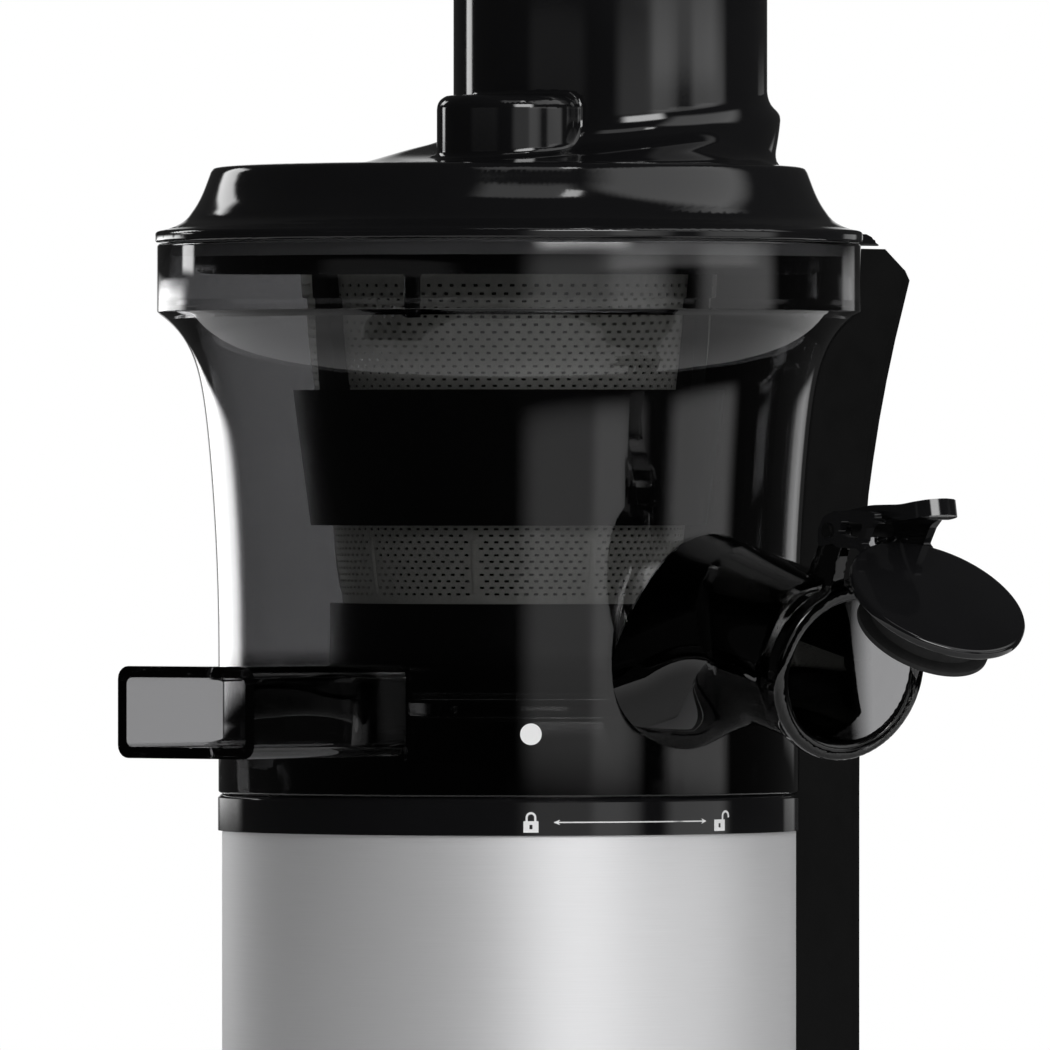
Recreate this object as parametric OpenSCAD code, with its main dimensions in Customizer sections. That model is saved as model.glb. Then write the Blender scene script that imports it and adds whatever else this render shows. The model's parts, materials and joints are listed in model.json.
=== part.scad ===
// Cold press juicer: a motor base with a rear column, a clear bowl with a strainer and an auger,
// and a gloss lid with an offset feed chute. Millimetres, +Z up, origin on the auger's axis at the
// table, pulp chute towards -Y, column towards +Y.

/* [Base] */
// Radius of the brushed steel sleeve
body_r = 67.5; // [66:0.5:72]
// Sheet thickness of the sleeve
sleeve_t = 1; // [0.6:0.1:1.5]
// Height of the deck that the bowl stands on
deck_z = 165; // [158:1:185]
// Height of the gloss lock ring on top of the sleeve
ring_h = 8.7; // [7:0.1:12]
// How far the lock ring stands out past the sleeve
ring_out = 1; // [0.5:0.5:2]
// Height of the plinth under the sleeve
plinth_h = 11; // [8:0.5:16]
// How far the plinth stands out past the sleeve
plinth_out = 2; // [1:0.5:4]
// Wall of the moulded base parts
wall = 2.6; // [2:0.1:3.2]
// Height of the rubber feet
foot_h = 3; // [2:0.5:6]
// Radius of a rubber foot
foot_r = 8; // [6:0.5:10]

/* [Column] */
// Width of the rear column
column_w = 70; // [62:1:76]
// Distance from the axis to the back of the lower column
column_back = 91.6; // [86:0.2:96]
// How far the tower's shoulder leans out behind the lower column
tower_lean = 20.3; // [14:0.1:24]
// Thickness of the back cover
cover_t = 2.5; // [2:0.1:3]
// Free gap between the tower and the bowl
tower_gap = 1.5; // [1:0.1:2.5]
// Drop from the bowl's rim to the top of the tower
tower_drop = 0.4; // [0.3:0.1:2]

/* [Bowl] */
// Outer radius of the bowl at its foot
bowl_r = 68.4; // [68:0.2:70]
// Wall of the clear mouldings
bowl_wall = 2.6; // [2:0.1:3]
// Height of the bowl from the deck to its rim
bowl_h = 129.1; // [128.5:0.1:132]
// Height of the straight lower wall
bowl_straight = 31.8; // [25:0.2:40]
// Outer radius at the top of the flare
flare_r = 82.1; // [80:0.1:82.5]
// Outer radius of the rim collar
collar_r = 82.8; // [82.6:0.1:84]
// Height of the rim collar
collar_h = 16; // [12:0.5:18]
// Height of the juice floor above the deck
floor_h = 22; // [20:0.5:23]
// Angle that the bowl turns from locked to unlocked
unlock_angle = 42; // [40:1:50]

/* [Pulp chute] */
// Outer width of the chute
chute_w = 40; // [34:1:44]
// Height of the chute's outside
chute_h = 21.2; // [18:0.2:22]
// Height of the chute's underside above the deck
chute_z = 9.6; // [9:0.1:10.5]
// Distance from the axis to the chute's mouth
chute_reach = 122; // [100:1:140]
// Corner radius of the chute
chute_round = 3; // [2:0.5:4]

/* [Juice spout] */
// Outer radius of the spout tube
spout_r = 19.05; // [18:0.05:20]
// Radius of the spout's bore
spout_bore_r = 16.5; // [15:0.1:17]
// Radius of the lip round the mouth
spout_lip_r = 20.8; // [20.5:0.1:22.5]
// Slope of the spout below level
spout_tilt = 12.5; // [8:0.5:16]
// Length of the spout's run from the foot of its axis to the mouth, seen from above
spout_run = 124; // [120:0.5:136]
// Sideways offset of the spout's axis from the bowl's axis
spout_side = 10.6; // [6:0.2:14]
// Height of the mouth's centre above the deck
mouth_h = 29.2; // [26:0.1:32]
// Turn of the spout from the front of the machine
spout_turn = 71.8; // [65:0.2:76]

/* [Spout cap] */
// Radius of the cap's disc
cap_r = 21.2; // [21:0.1:23]
// Angle that the cap stands open at rest
cap_open = 66; // [50:1:80]
// Height of the hinge pin above the spout's axis
hinge_up = 33; // [32:0.5:36]
// Distance of the hinge pin behind the mouth
hinge_back = 3; // [2.5:0.1:4]
// Radius of the hinge pin
hinge_pin_r = 1.6; // [1.4:0.1:1.8]

/* [Strainer] */
// Outer radius of the mesh cone at its top
mesh_top_r = 49.2; // [48:0.1:50]
// Outer radius of the mesh cone at its foot
mesh_foot_r = 39; // [38:0.1:40]
// Drop from the bowl's rim to the mesh's top
mesh_drop = 8.4; // [8:0.1:13]
// Height of the mesh's foot above the deck
mesh_foot_h = 44.7; // [42:0.1:48]
// Thickness of the mesh sheet
mesh_t = 0.8; // [0.6:0.1:1]
// Outer radius of the strainer's moulded cup
cup_r = 42.1; // [41:0.1:42.1]

/* [Auger] */
// Running gap between the auger's flights and the mesh
flight_gap = 0.8; // [0.5:0.1:1.5]
// Turns that each flight makes
flight_turns = 2.1; // [1.5:0.1:2.5]
// Number of flights
flights = 2; // [2:1:3]
// Thickness of a flight
flight_t = 4; // [3:0.5:5]
// Radius of the drive shaft
shaft_r = 7; // [6:0.5:7.5]

/* [Lid] */
// Outer radius of the lid's rim
lid_r = 83.2; // [82.8:0.1:84]
// Height of the lid's flat top above the bowl's rim
lid_h = 18.4; // [16:0.2:20]
// Outer radius of the feed chute
feed_r = 37.2; // [34:0.2:37.2]
// Offset of the feed chute towards the column
feed_y = 39.5; // [38:0.5:42]
// Wall of the feed chute
feed_wall = 3; // [2:0.1:3]
// Height of the chute's mouth above the bowl's rim
feed_h = 130.9; // [110:1:150]
// Height of the bearing boss above the lid's flat top
boss_h = 16.5; // [14:0.5:17]
// Radius of the bearing boss
boss_r = 17; // [15:0.5:18]

/* [Gear train] */
// Teeth of the motor pinion and of the second pinion
pinion_teeth = 12; // [12:1:12]
// Teeth of the first wheel
first_teeth = 48; // [48:1:48]
// Teeth of the output wheel
output_teeth = 36; // [36:1:36]
// Distance between the two gear axes
gear_distance = 30; // [27:0.5:30]
// Flank backlash at the pitch circle
backlash = 0.16; // [0.12:0.01:0.24]

/* [Hidden] */
$fn = 96;

// Shared clearances and the overrun of every cut
fit = 0.1;
run_gap = 0.06;
seat = 0.05;
over = 1;

// Heights of the base, from the table up
plinth_z = foot_h;
sleeve_z = plinth_z + plinth_h;
ring_z = deck_z - ring_h;
plinth_r = body_r + plinth_out;
ring_r = body_r + ring_out;
ring_bevel = 1;
deck_t = 3.5;
screw_r = 2;
screw_head_r = 3.6;
screw_head_h = 2.4;

// Spigot and bayonet that hold the bowl on the deck
spigot_in = 11.4;
spigot_r = bowl_r - spigot_in;
spigot_h = 8.5;
spigot_t = 2.6;
lug_out = 4.5;
lug_r = spigot_r + lug_out;
lug_h = 4;
lug_clear = 4;
lug_span = unlock_angle - lug_clear;
lug_start = 37;
lug_count = 3;
lug_gap = 0.3;
bowl_lug_out = 1;
bowl_lug_r = spigot_r + bowl_lug_out;
bowl_lug_lift = 0.8;

// Bowl's heights and its inner well
rim_z = deck_z + bowl_h;
flare_z = deck_z + bowl_straight;
collar_z = rim_z - collar_h;
collar_step = 0.7;
floor_z = deck_z + floor_h;
floor_t = 3;
well_gap = 0.3;
well_r = cup_r + well_gap;
well_wall = 2.4;
well_lift = 9.2;
well_z = deck_z + well_lift;
hub_r = 12.5;
hub_bore_r = 9.2;
hub_h = 18;

// Column outline: back edge of the tower as shares of its lean and its height
tower_back_shares = [[0, 0], [0.015, 0.28], [0.08, 0.42], [0.182, 0.544], [0.276, 0.609], [0.399, 0.683],
    [0.547, 0.758], [0.714, 0.832], [1, 0.9425], [0.906, 0.961], [0.512, 1]];
tower_corner = 8;
tower_h = bowl_h - tower_drop;
column_round = 3;
column_front = 40;

// Gear train: the second stage shares the first stage's centre distance
pressure = 25;
first_module = 2 * gear_distance / (pinion_teeth + first_teeth);
second_module = 2 * gear_distance / (pinion_teeth + output_teeth);
flank_steps = 4;
gear_gap = 1;
output_w = 12;
first_w = 8;
bridge_t = 3;
bridge_r = 47;
post_r = 4;
post_place_r = 42;
box_r = 61;
box_wall = 3;
box_base_t = 5;
box_plate_t = 6;
box_top = deck_z - deck_t;
output_z = box_top - box_plate_t - gear_gap - output_w;
bridge_z = output_z - gear_gap - bridge_t;
first_z = bridge_z - gear_gap - first_w;
box_z = first_z - gear_gap - box_base_t;
cover_boss_r = 52;
boss_wall = 2.6;
deck_skin = 0.8;
journal_r = 5;
journal_bush_r = 8;
idler_shaft_r = 4;
idler_bush_r = 6.5;
output_bearing_r = 13;
seal_r = 12;
seal_lip = 2;

// Motor that hangs under the gear box
can_r = 44;
can_wall = 2;
can_h = 82;
can_z = box_z - can_h;
motor_shaft_r = 4;
motor_bearing_r = 9;
motor_bearing_h = 6;
rotor_r = 22;
air_gap = 1;
core_h = 40;
core_lift = 20;
core_z = can_z + core_lift;
coil_h = 9;
stator_slots = 12;
slot_w = 5;
slot_depth = 11;
yoke_t = 5;
fan_r = 36;
fan_h = 9;
fan_hub_r = 8;
fan_blades = 9;
fan_gap = 3;
fan_z = can_z - fan_gap - fan_h;

// Board, switch and cord inlet in the column
board_w = 52;
board_h = 60;
board_t = 1.6;
board_edge = 5;
board_y = 79;
board_lift = 36;
board_z = sleeve_z + board_lift;
standoff_r = 2.6;
switch_w = 15;
switch_h = 21;
switch_drop = 32;
switch_z = deck_z - switch_drop;
switch_depth = 14;
switch_flange = 1.6;
switch_flange_t = 1.5;
rocker_r = 8.2;
rocker_w = 10.8;
rocker_y = column_back - 2.3;
rocker_gap = 0.5;
rocker_pin_r = 1.2;
rocker_front = 3.6;
rocker_dish = 1;
gland_z = sleeve_z + 16;
gland_r = 7;
gland_flange_r = 9;
gland_bore_r = 3.5;
gland_out = 10;

// Hexagon end of the drive shaft and the auger that stands on it
hex_z = deck_z + 31;
hex_h = 16;
hex_r = 6.4;
auger_z = deck_z + 16;
auger_top = rim_z + 9;
auger_foot_r = 33;
auger_socket_z = well_z + hub_h + 1.3;
pin_r = 5;
pin_depth = 16;
flight_z = auger_z + 4;
flight_top = auger_top - 3;
flight_steps = 64;
flight_ease = 1.15;
flight_root_share = 1.5;
flight_edge_share = 0.8;

// Strainer: a moulded cup, band and rim round a steel mesh cone
mesh_foot_z = deck_z + mesh_foot_h;
mesh_top_z = rim_z - mesh_drop;
mesh_slope = (mesh_top_r - mesh_foot_r) / (mesh_top_z - mesh_foot_z);
cup_floor_t = 2.4;
cup_z = well_z + cup_floor_t + well_gap;
cup_foot_r = 36;
band_shares = [0.241, 0.659];
band_z = mesh_foot_z + band_shares[0] * (mesh_top_z - mesh_foot_z);
band_top = mesh_foot_z + band_shares[1] * (mesh_top_z - mesh_foot_z);
band_r = 46.6;
band_top_r = 50.8;
bar_w = 7;
bar_t = 4;
bar_start = -20.6;
bar_count = 3;
mesh_rim_r = 52;
mesh_rim_h = 6.3;
slit_count = 9;
slit_w = 1.6;
slit_h = 12;
slit_start = 25.9;

// Spout's mouth, cap and hinge, in the spout's own frame: x out of the mouth, z across the tube
mouth_z = deck_z + mouth_h;
mouth_xy = spout_side * dir(spout_turn + 90) + spout_run * dir(spout_turn);
lip_l = 4;
lip_chamfer = 1.1;
root_r = 20.5;
root_drop = 15;
root_side = 8.5;
root_run = 58;
root_tip_r = 16.8;
root_l = 30;
root_rise = atan(root_drop / root_l - tan(spout_tilt));
root_yaw = atan(root_side / root_l);
ear_in = 5;
ear_t = 3;
ear_r = 3.6;
lever_t = 2;
lever_gap = 0.4;
hinge = [-hinge_back, 0, hinge_up];
hinge_w = 2 * (ear_in + ear_t + lever_gap + lever_t);
ear_foot = 10.8;
chute_root = 10.4;
cap_gap = 0.4;
cap_t = 2.4;
plug_r = 15.9;
plug_neck_r = 13.6;
plug_flange_t = 2.2;
plug_l = 8.6;
plug_wall = 2;
lever_shares = [[-0.11, 0.03], [-0.03, 0.125], [0.21, 0.12], [0.36, -0.08], [0.48, -0.3], [0.38, -0.52],
    [0.23, -0.64], [0.175, -0.64], [0.175, -0.36], [0.12, -0.15], [0, -0.11], [-0.08, -0.07]];
window_shares = [[0.15, 0.03], [0.24, -0.05], [0.32, -0.21], [0.25, -0.3], [0.19, -0.18]];
tab_shares = [[0.33, -0.045], [0.455, -0.24], [0.61, -0.42], [0.76, -0.57], [0.91, -0.77], [0.86, -0.82],
    [0.71, -0.625], [0.56, -0.475], [0.405, -0.32], [0.27, -0.15]];

// Lid: outline of its skirt as shares of its radius and its height
lid_shares = [[1, 0.011], [1, 0.152], [0.954, 0.201], [0.917, 0.293], [0.897, 0.402], [0.879, 0.527],
    [0.864, 0.668], [0.851, 0.821], [0.841, 0.929], [0.827, 0.967], [0.784, 0.989], [0, 1]];
lid_z = rim_z;
lid_top = lid_z + lid_h;
lid_wall = 2.7;
lid_gap = 0.2;
skirt_r = 74;
skirt_drop = 8.2;
throat_r = 44.5;
throat_floor = 0.5;
mound_r = 48;
mound_y = 20;
mound_h = 8.5;
mound_tilt = 8;
mound_over = 1.4;
mound_slice = 0.4;
collar_top = lid_top + 17.5;
shoulder_r = 9;
shoulder_h = 10;
boss_z = lid_top - 8;
boss_round_shares = [[1, 0.8], [0.95, 0.885], [0.82, 0.965], [0.59, 0.99], [0, 1]];
bush_r = 7;
bush_z = boss_z + 1.5;
bush_h = 15;
tab_w = column_w;
tab_reach = column_back + 8.1;
tab_top = 3.1;
tab_chamfer = 3.9;
tab_lip = 0.4;
tab_lift = 0.3;
key_turn = 19.6;
key_w = 3.5;
key_l = 9.4;
key_t = 2;
seal_w = 3.4;
seal_h = 3.7;
seal_gap = 0.3;
magnet_r = 4;
magnet_h = 2;
magnet_y = column_back + 0.4;
feed_top = rim_z + feed_h;

// Pusher inside the feed chute
pusher_gap = 0.6;
pusher_wall = 2.4;
pusher_z = lid_top + boss_h + 4;
pusher_rim_h = 3.6;
grip_h = 8;
grip_wall = 2.8;
grip_round = 3;

// A square plate with round corners, centred on X and standing on y = 0
module round_plate(w, d, r) {
    translate([-w / 2 + r, 0]) square([w - 2 * r, d]);
    translate([-w / 2, r]) square([w, d - 2 * r]);
    for (x = [-1, 1], y = [r, d - r]) translate([x * (w / 2 - r), y]) circle(r);
}

// A ring with a square section
module ring(r_in, r_out, h) {
    difference() {
        cylinder(r = r_out, h = h);
        translate([0, 0, -over]) cylinder(r = r_in, h = h + 2 * over);
    }
}

// A sector of a ring, from one angle to another, less than half a turn
module sector(r_in, r_out, h, from, span) {
    reach = 2 * r_out;
    intersection() {
        ring(r_in, r_out, h);
        translate([0, 0, -over]) linear_extrude(h + 2 * over)
            polygon([[0, 0], reach * dir(from), reach * dir(from + span / 2), reach * dir(from + span)]);
    }
}

// A pan-head screw, head down, standing on z = 0
module screw(length) {
    cylinder(r = screw_head_r, h = screw_head_h);
    translate([0, 0, screw_head_h]) cylinder(r = screw_r, h = length);
}

// Direction of a machine angle: 0 is the front, -Y, and angles grow towards +X
function dir(a) = [sin(a), -cos(a)];
function at(r, a) = [r * sin(a), -r * cos(a), 0];

// Base

vent_count = 9;
vent_w = 3;
vent_l = 34;
vent_pitch = 7;
foot_place_r = 54;
pan_wall = wall + sleeve_t;
module footprint(r, w, back) {
    circle(r);
    round_plate(w, back, column_round);
}
module base_pan() {
    color([0.06, 0.06, 0.06]) difference() {
        translate([0, 0, plinth_z]) linear_extrude(plinth_h)
            footprint(plinth_r, column_w + plinth_out, column_back + plinth_out / 2);
        translate([0, 0, plinth_z + wall]) linear_extrude(plinth_h)
            footprint(plinth_r - pan_wall - plinth_out / 2, column_w - 2 * wall, column_back - pan_wall);
        for (i = [0:vent_count - 1])
            translate([(i - (vent_count - 1) / 2) * vent_pitch - vent_w / 2, -vent_l / 2,
                plinth_z - over])
                cube([vent_w, vent_l, wall + 2 * over]);
        for (a = [45:90:315])
            translate(at(foot_place_r, a) + [0, 0, plinth_z - over])
                cylinder(r = screw_r + fit, h = wall + 2 * over);
    }
}
foot_recess = 1.4;
module rubber_feet() {
    color([0.1, 0.1, 0.1]) for (a = [45:90:315]) translate(at(foot_place_r, a)) difference() {
        rotate_extrude() polygon([[0, 0], [foot_r - foot_recess / 2, 0], [foot_r, foot_recess / 2],
            [foot_r, foot_h], [0, foot_h]]);
        translate([0, 0, -over]) cylinder(r = screw_head_r + fit, h = over + foot_recess);
        translate([0, 0, -over]) cylinder(r = screw_r + fit, h = foot_h + 2 * over);
    }
}
foot_screw_l = foot_h + wall + 2;
module foot_screws() {
    color([0.7, 0.7, 0.72]) for (a = [45:90:315]) translate(at(foot_place_r, a)) {
        translate([0, 0, foot_recess / 2]) cylinder(r = screw_head_r - fit, h = foot_recess / 2);
        translate([0, 0, foot_recess]) cylinder(r = screw_r, h = foot_screw_l - foot_recess);
        translate([0, 0, plinth_z + wall + seat]) ring(screw_r - seat, screw_head_r, screw_head_h);
    }
}
sleeve_slot_edge = 15.6;
sleeve_slot_w = column_w - sleeve_slot_edge;
module body_sleeve() {
    color([0.7, 0.71, 0.72]) translate([0, 0, sleeve_z]) difference() {
        ring(body_r - sleeve_t, body_r, ring_z - sleeve_z);
        translate([-sleeve_slot_w / 2, 0, -over])
            cube([sleeve_slot_w, body_r + over, ring_z - sleeve_z + 2 * over]);
    }
}
skirt_h = 8;
module lock_ring() {
    inner = body_r - sleeve_t - fit;
    color([0.03, 0.03, 0.03]) difference() {
        union() {
            rotate_extrude() polygon([[0, deck_z - deck_t], [inner - wall, deck_z - deck_t],
                [inner - wall, ring_z - skirt_h], [inner, ring_z - skirt_h], [inner, ring_z],
                    [ring_r, ring_z],
                [ring_r, deck_z - ring_bevel], [ring_r - ring_bevel, deck_z], [spigot_r, deck_z],
                [spigot_r, deck_z + spigot_h - ring_bevel], [spigot_r - ring_bevel, deck_z + spigot_h],
                [0, deck_z + spigot_h]]);
            for (i = [0:lug_count - 1]) translate([0, 0, deck_z + spigot_h - lug_h])
                sector(spigot_r - over, lug_r, lug_h, lug_start + i * 360 / lug_count, lug_span);
        }
        translate([0, 0, deck_z]) ring(seal_r + spigot_t, spigot_r - spigot_t, spigot_h + over);
        translate([0, 0, deck_z - deck_t - over])
            cylinder(r = seal_r + seat, h = spigot_h + deck_t + 2 * over);
        for (a = [45:90:315]) translate(at(cover_boss_r, a) + [0, 0, deck_z - deck_t - over])
            cylinder(r = screw_r + fit, h = deck_t + over - deck_skin);
    }
}

// Rear column

module rear_housing() {
    depth = column_back - cover_t - seat;
    color([0.09, 0.09, 0.09]) difference() {
        translate([0, 0, sleeve_z]) linear_extrude(deck_z - sleeve_z) difference() {
            translate([-column_w / 2, column_front]) square([column_w, depth - column_front]);
            circle(body_r + fit);
        }
        translate([-column_w / 2 + wall, column_front - over, sleeve_z + wall])
            cube([column_w - 2 * wall, depth - column_front - wall + over, deck_z - sleeve_z - 2 * wall]);
        translate([0, depth - wall - over, gland_z]) rotate([-90, 0, 0])
            cylinder(r = gland_r + fit, h = wall + 2 * over);
        translate([-switch_w / 2 - fit, depth - wall - over, switch_z - switch_h / 2 - fit])
            cube([switch_w + 2 * fit, wall + 2 * over, switch_h + 2 * fit]);
        translate([0, 0, ring_z - skirt_h]) cylinder(r = ring_r + fit, h = ring_h + skirt_h + over);
    }
    color([0.09, 0.09, 0.09]) for (x = [-1, 1], z = [board_z + board_edge,
        board_z + board_h - board_edge])
        translate([x * (board_w / 2 - board_edge), board_y + board_t, z]) rotate([-90, 0, 0])
            cylinder(r = standoff_r, h = column_back - cover_t - seat - wall - board_y - board_t + seat);
}
function tower_back(inset) = [for (i = [0:len(tower_back_shares) - 1]) let (p = tower_back_shares[i])
    [column_back - (i > tower_corner ? 0 : inset) + p[0] * tower_lean, deck_z + p[1] * tower_h]];
module tower_side(inset, drop) {
    translate([-column_w / 2 + drop, 0, 0]) rotate([90, 0, 90]) linear_extrude(column_w - 2 * drop)
        polygon(concat([[column_front, deck_z]], tower_back(inset), [[column_front, deck_z + tower_h]]));
}
module tower_shell() {
    color([0.09, 0.09, 0.09]) difference() {
        tower_side(cover_t + seat, 0);
        rotate_extrude() bowl_clearance(tower_gap);
        difference() {
            translate([0, 0, -wall]) tower_side(cover_t + seat + wall, wall);
            rotate_extrude() bowl_clearance(tower_gap + wall);
            translate([-column_w, 0, deck_z - over]) cube([2 * column_w, 2 * column_back, over + wall]);
        }
    }
}
// The bowl's swept outside with a gap, as a half section
module bowl_clearance(gap) {
    polygon(concat([[0, deck_z - over]], [[bowl_r + gap, deck_z - over]],
        [for (p = flare_points()) [p[0] + gap, p[1] - gap / 2]], [[lid_r + gap, collar_z - gap],
        [lid_r + gap, rim_z + over], [0, rim_z + over]]));
}
cover_inset = 1.2;
module back_cover() {
    t = cover_t;
    outer = tower_back(0);
    inner = tower_back(t);
    color([0.07, 0.07, 0.07]) difference() {
        translate([-column_w / 2, 0, 0]) rotate([90, 0, 90]) linear_extrude(column_w)
            polygon(concat([[column_back - t, sleeve_z], [column_back, sleeve_z]],
                [for (i = [0:tower_corner]) outer[i]], [outer[tower_corner + 1] + [seat, seat]],
                [for (i = [tower_corner:-1:0]) inner[i]]));
        translate([-switch_w / 2 - fit, column_back - t - over, switch_z - switch_h / 2 - fit])
            cube([switch_w + 2 * fit, t + 2 * over, switch_h + 2 * fit]);
        translate([0, column_back - t - over, gland_z]) rotate([-90, 0, 0])
            cylinder(r = gland_r + fit, h = t + 2 * over);
        for (x = [-1, 1], z = cover_screw_z) translate([x * cover_screw_x, column_back - t - over, z])
            rotate([-90, 0, 0]) {
                cylinder(r = screw_r + fit, h = t + 2 * over);
                translate([0, 0, over + t - cover_inset])
                    cylinder(r = screw_head_r + fit, h = over + cover_inset);
            }
    }
}
cover_screw_x = 28;
cover_screw_z = [sleeve_z + 8, (sleeve_z + deck_z) / 2, deck_z - 10];
module cover_screws() {
    color([0.15, 0.15, 0.15]) for (x = [-1, 1], z = cover_screw_z)
        translate([x * cover_screw_x, column_back - cover_inset + seat, z]) rotate([-90, 0, 0]) {
            cylinder(r = screw_head_r, h = cover_inset - 2 * seat);
            translate([0, 0, -(cover_t - cover_inset) + 2 * seat])
                cylinder(r = screw_r, h = cover_t - cover_inset);
        }
}

// Gear train

function involute(a) = tan(a) * 180 / PI - a;
function flank(m, n, r) = let (rp = m * n / 2, rb = rp * cos(pressure))
    (PI * m / 4 - backlash / 2) / rp * 180 / PI + involute(pressure) - (r > rb ? involute(acos(rb / r)) : 0);
function gear_radii(m, n) = let (rp = m * n / 2, rb = rp * cos(pressure), root = rp - 1.25 * m,
    tip = rp + m)
    concat([root], [for (i = [0:flank_steps]) max(rb, root) + seat + (tip - max(rb,
        root) - seat) * i / flank_steps]);
module gear(m, n, h, phase) {
    radii = gear_radii(m, n);
    last = len(radii) - 1;
    linear_extrude(h) polygon([for (t = [0:n - 1]) let (a = phase + t * 360 / n) each concat(
        [for (i = [0:last]) radii[i] * [cos(a - flank(m, n, radii[i])), sin(a - flank(m, n, radii[i]))]],
        [for (i = [last:-1:0]) radii[i] * [cos(a + flank(m, n, radii[i])), sin(a + flank(m, n,
            radii[i]))]])]);
}
module idler_axis() { translate([gear_distance, 0, 0]) children(); }
module gearbox_base() {
    color([0.55, 0.56, 0.58]) difference() {
        translate([0, 0, box_z]) cylinder(r = box_r, h = box_base_t);
        translate([0, 0, box_z - over]) cylinder(r = motor_bearing_r, h = box_base_t + 2 * over);
        idler_axis() translate([0, 0, box_z - over])
            cylinder(r = idler_bush_r + seat, h = box_base_t + 2 * over);
        for (a = [45:90:315]) translate(at(cover_boss_r, a) + [0, 0, box_z - over])
            cylinder(r = screw_r + fit, h = box_base_t + 2 * over);
    }
}
module gear_bridge() {
    color([0.6, 0.6, 0.62]) {
        translate([0, 0, bridge_z]) difference() {
            cylinder(r = bridge_r, h = bridge_t);
            translate([0, 0, -over]) cylinder(r = journal_bush_r + seat, h = bridge_t + 2 * over);
            idler_axis() translate([0, 0, -over])
                cylinder(r = idler_shaft_r + gear_gap, h = bridge_t + 2 * over);
        }
        for (a = [0, 180, 270]) translate(at(post_place_r, a) + [0, 0, box_z + box_base_t])
            cylinder(r = post_r, h = bridge_z - box_z - box_base_t);
    }
}
module gearbox_cover() {
    wall_z = box_z + box_base_t;
    color([0.55, 0.56, 0.58]) difference() {
        union() {
            translate([0, 0, wall_z]) ring(box_r - box_wall, box_r, box_top - wall_z);
            translate([0, 0, box_top - box_plate_t]) cylinder(r = box_r - box_wall / 2, h = box_plate_t);
            for (a = [45:90:315]) translate(at(cover_boss_r, a) + [0, 0, wall_z])
                cylinder(r = screw_r + fit + boss_wall, h = box_top - wall_z - over);
        }
        translate([0, 0, wall_z]) cylinder(r = output_bearing_r + seat, h = box_top);
        idler_axis() translate([0, 0, wall_z])
            cylinder(r = idler_bush_r + seat, h = box_top - wall_z - over);
        for (a = [45:90:315]) translate(at(cover_boss_r, a) + [0, 0, wall_z - over])
            cylinder(r = screw_r + fit, h = box_top);
    }
}
module gearbox_screws() {
    color([0.75, 0.75, 0.77]) for (a = [45:90:315]) translate(at(cover_boss_r, a) + [0, 0,
        box_z - screw_head_h])
        screw(deck_z - 2 * deck_skin - box_z);
}
module gearbox_bearings() {
    color([0.8, 0.8, 0.82]) {
        translate([0, 0, box_top - box_plate_t]) ring(shaft_r + run_gap, output_bearing_r, box_plate_t);
        translate([0, 0, bridge_z]) ring(journal_r + run_gap, journal_bush_r, bridge_t);
        idler_axis() {
            translate([0, 0, box_z]) ring(idler_shaft_r + run_gap, idler_bush_r, box_base_t);
            translate([0, 0, box_top - box_plate_t])
                ring(idler_shaft_r + run_gap, idler_bush_r, box_plate_t - over);
        }
    }
}
module idler_gear() {
    color([0.75, 0.72, 0.62]) idler_axis() {
        translate([0, 0, box_z + seat])
            cylinder(r = idler_shaft_r, h = box_top - over - 2 * seat - box_z);
        translate([0, 0, first_z]) gear(first_module, first_teeth, first_w, 180 / first_teeth);
        translate([0, 0, output_z]) gear(second_module, pinion_teeth, output_w, 0);
    }
}
module output_gear() {
    color([0.78, 0.75, 0.65]) translate([0, 0, output_z]) difference() {
        gear(second_module, output_teeth, output_w, 180 / output_teeth);
        translate([0, 0, -over]) cylinder(r = shaft_r + seat, h = output_w + 2 * over);
    }
}
module drive_shaft() {
    color([0.75, 0.76, 0.78]) {
        translate([0, 0, bridge_z]) cylinder(r = journal_r, h = output_z - bridge_z);
        translate([0, 0, output_z]) cylinder(r = shaft_r, h = hex_z - output_z);
        translate([0, 0, hex_z]) cylinder(r = hex_r, h = hex_h, $fn = 6);
    }
}
module deck_seal() {
    color([0.55, 0.55, 0.55]) rotate_extrude() polygon([[shaft_r + run_gap, deck_z + spigot_h - seal_lip],
        [shaft_r + run_gap, deck_z + spigot_h], [seal_r, deck_z + spigot_h],
            [seal_r, box_top + deck_t / 2],
        [hub_bore_r, box_top + deck_t / 2], [hub_bore_r, deck_z + spigot_h - seal_lip]]);
}

// Motor

module motor_can() {
    color([0.35, 0.36, 0.38]) difference() {
        union() {
            translate([0, 0, can_z]) ring(can_r - can_wall, can_r, can_h);
            for (z = [can_z, box_z - can_wall]) translate([0, 0, z])
                cylinder(r = can_r - can_wall / 2, h = can_wall);
            translate([0, 0, can_z]) cylinder(r = motor_bearing_r + can_wall, h = motor_bearing_h);
            translate([0, 0, box_z - motor_bearing_h])
                cylinder(r = motor_bearing_r + can_wall, h = motor_bearing_h);
        }
        translate([0, 0, can_z - over]) cylinder(r = motor_bearing_r + seat, h = can_h + 2 * over);
        for (a = [0:60:300]) rotate(a) translate([(rotor_r + can_r) / 2, 0, can_z - over])
            cylinder(r = motor_bearing_r / 2, h = can_wall + 2 * over);
    }
}
module motor_stator() {
    color([0.45, 0.46, 0.48]) translate([0, 0, core_z]) difference() {
        ring(rotor_r + air_gap, can_r - can_wall - seat, core_h);
        for (i = [0:stator_slots - 1]) rotate(i * 360 / stator_slots)
            translate([rotor_r + air_gap + can_wall, -slot_w / 2, -over])
                cube([slot_depth, slot_w, core_h + 2 * over]);
    }
}
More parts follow.
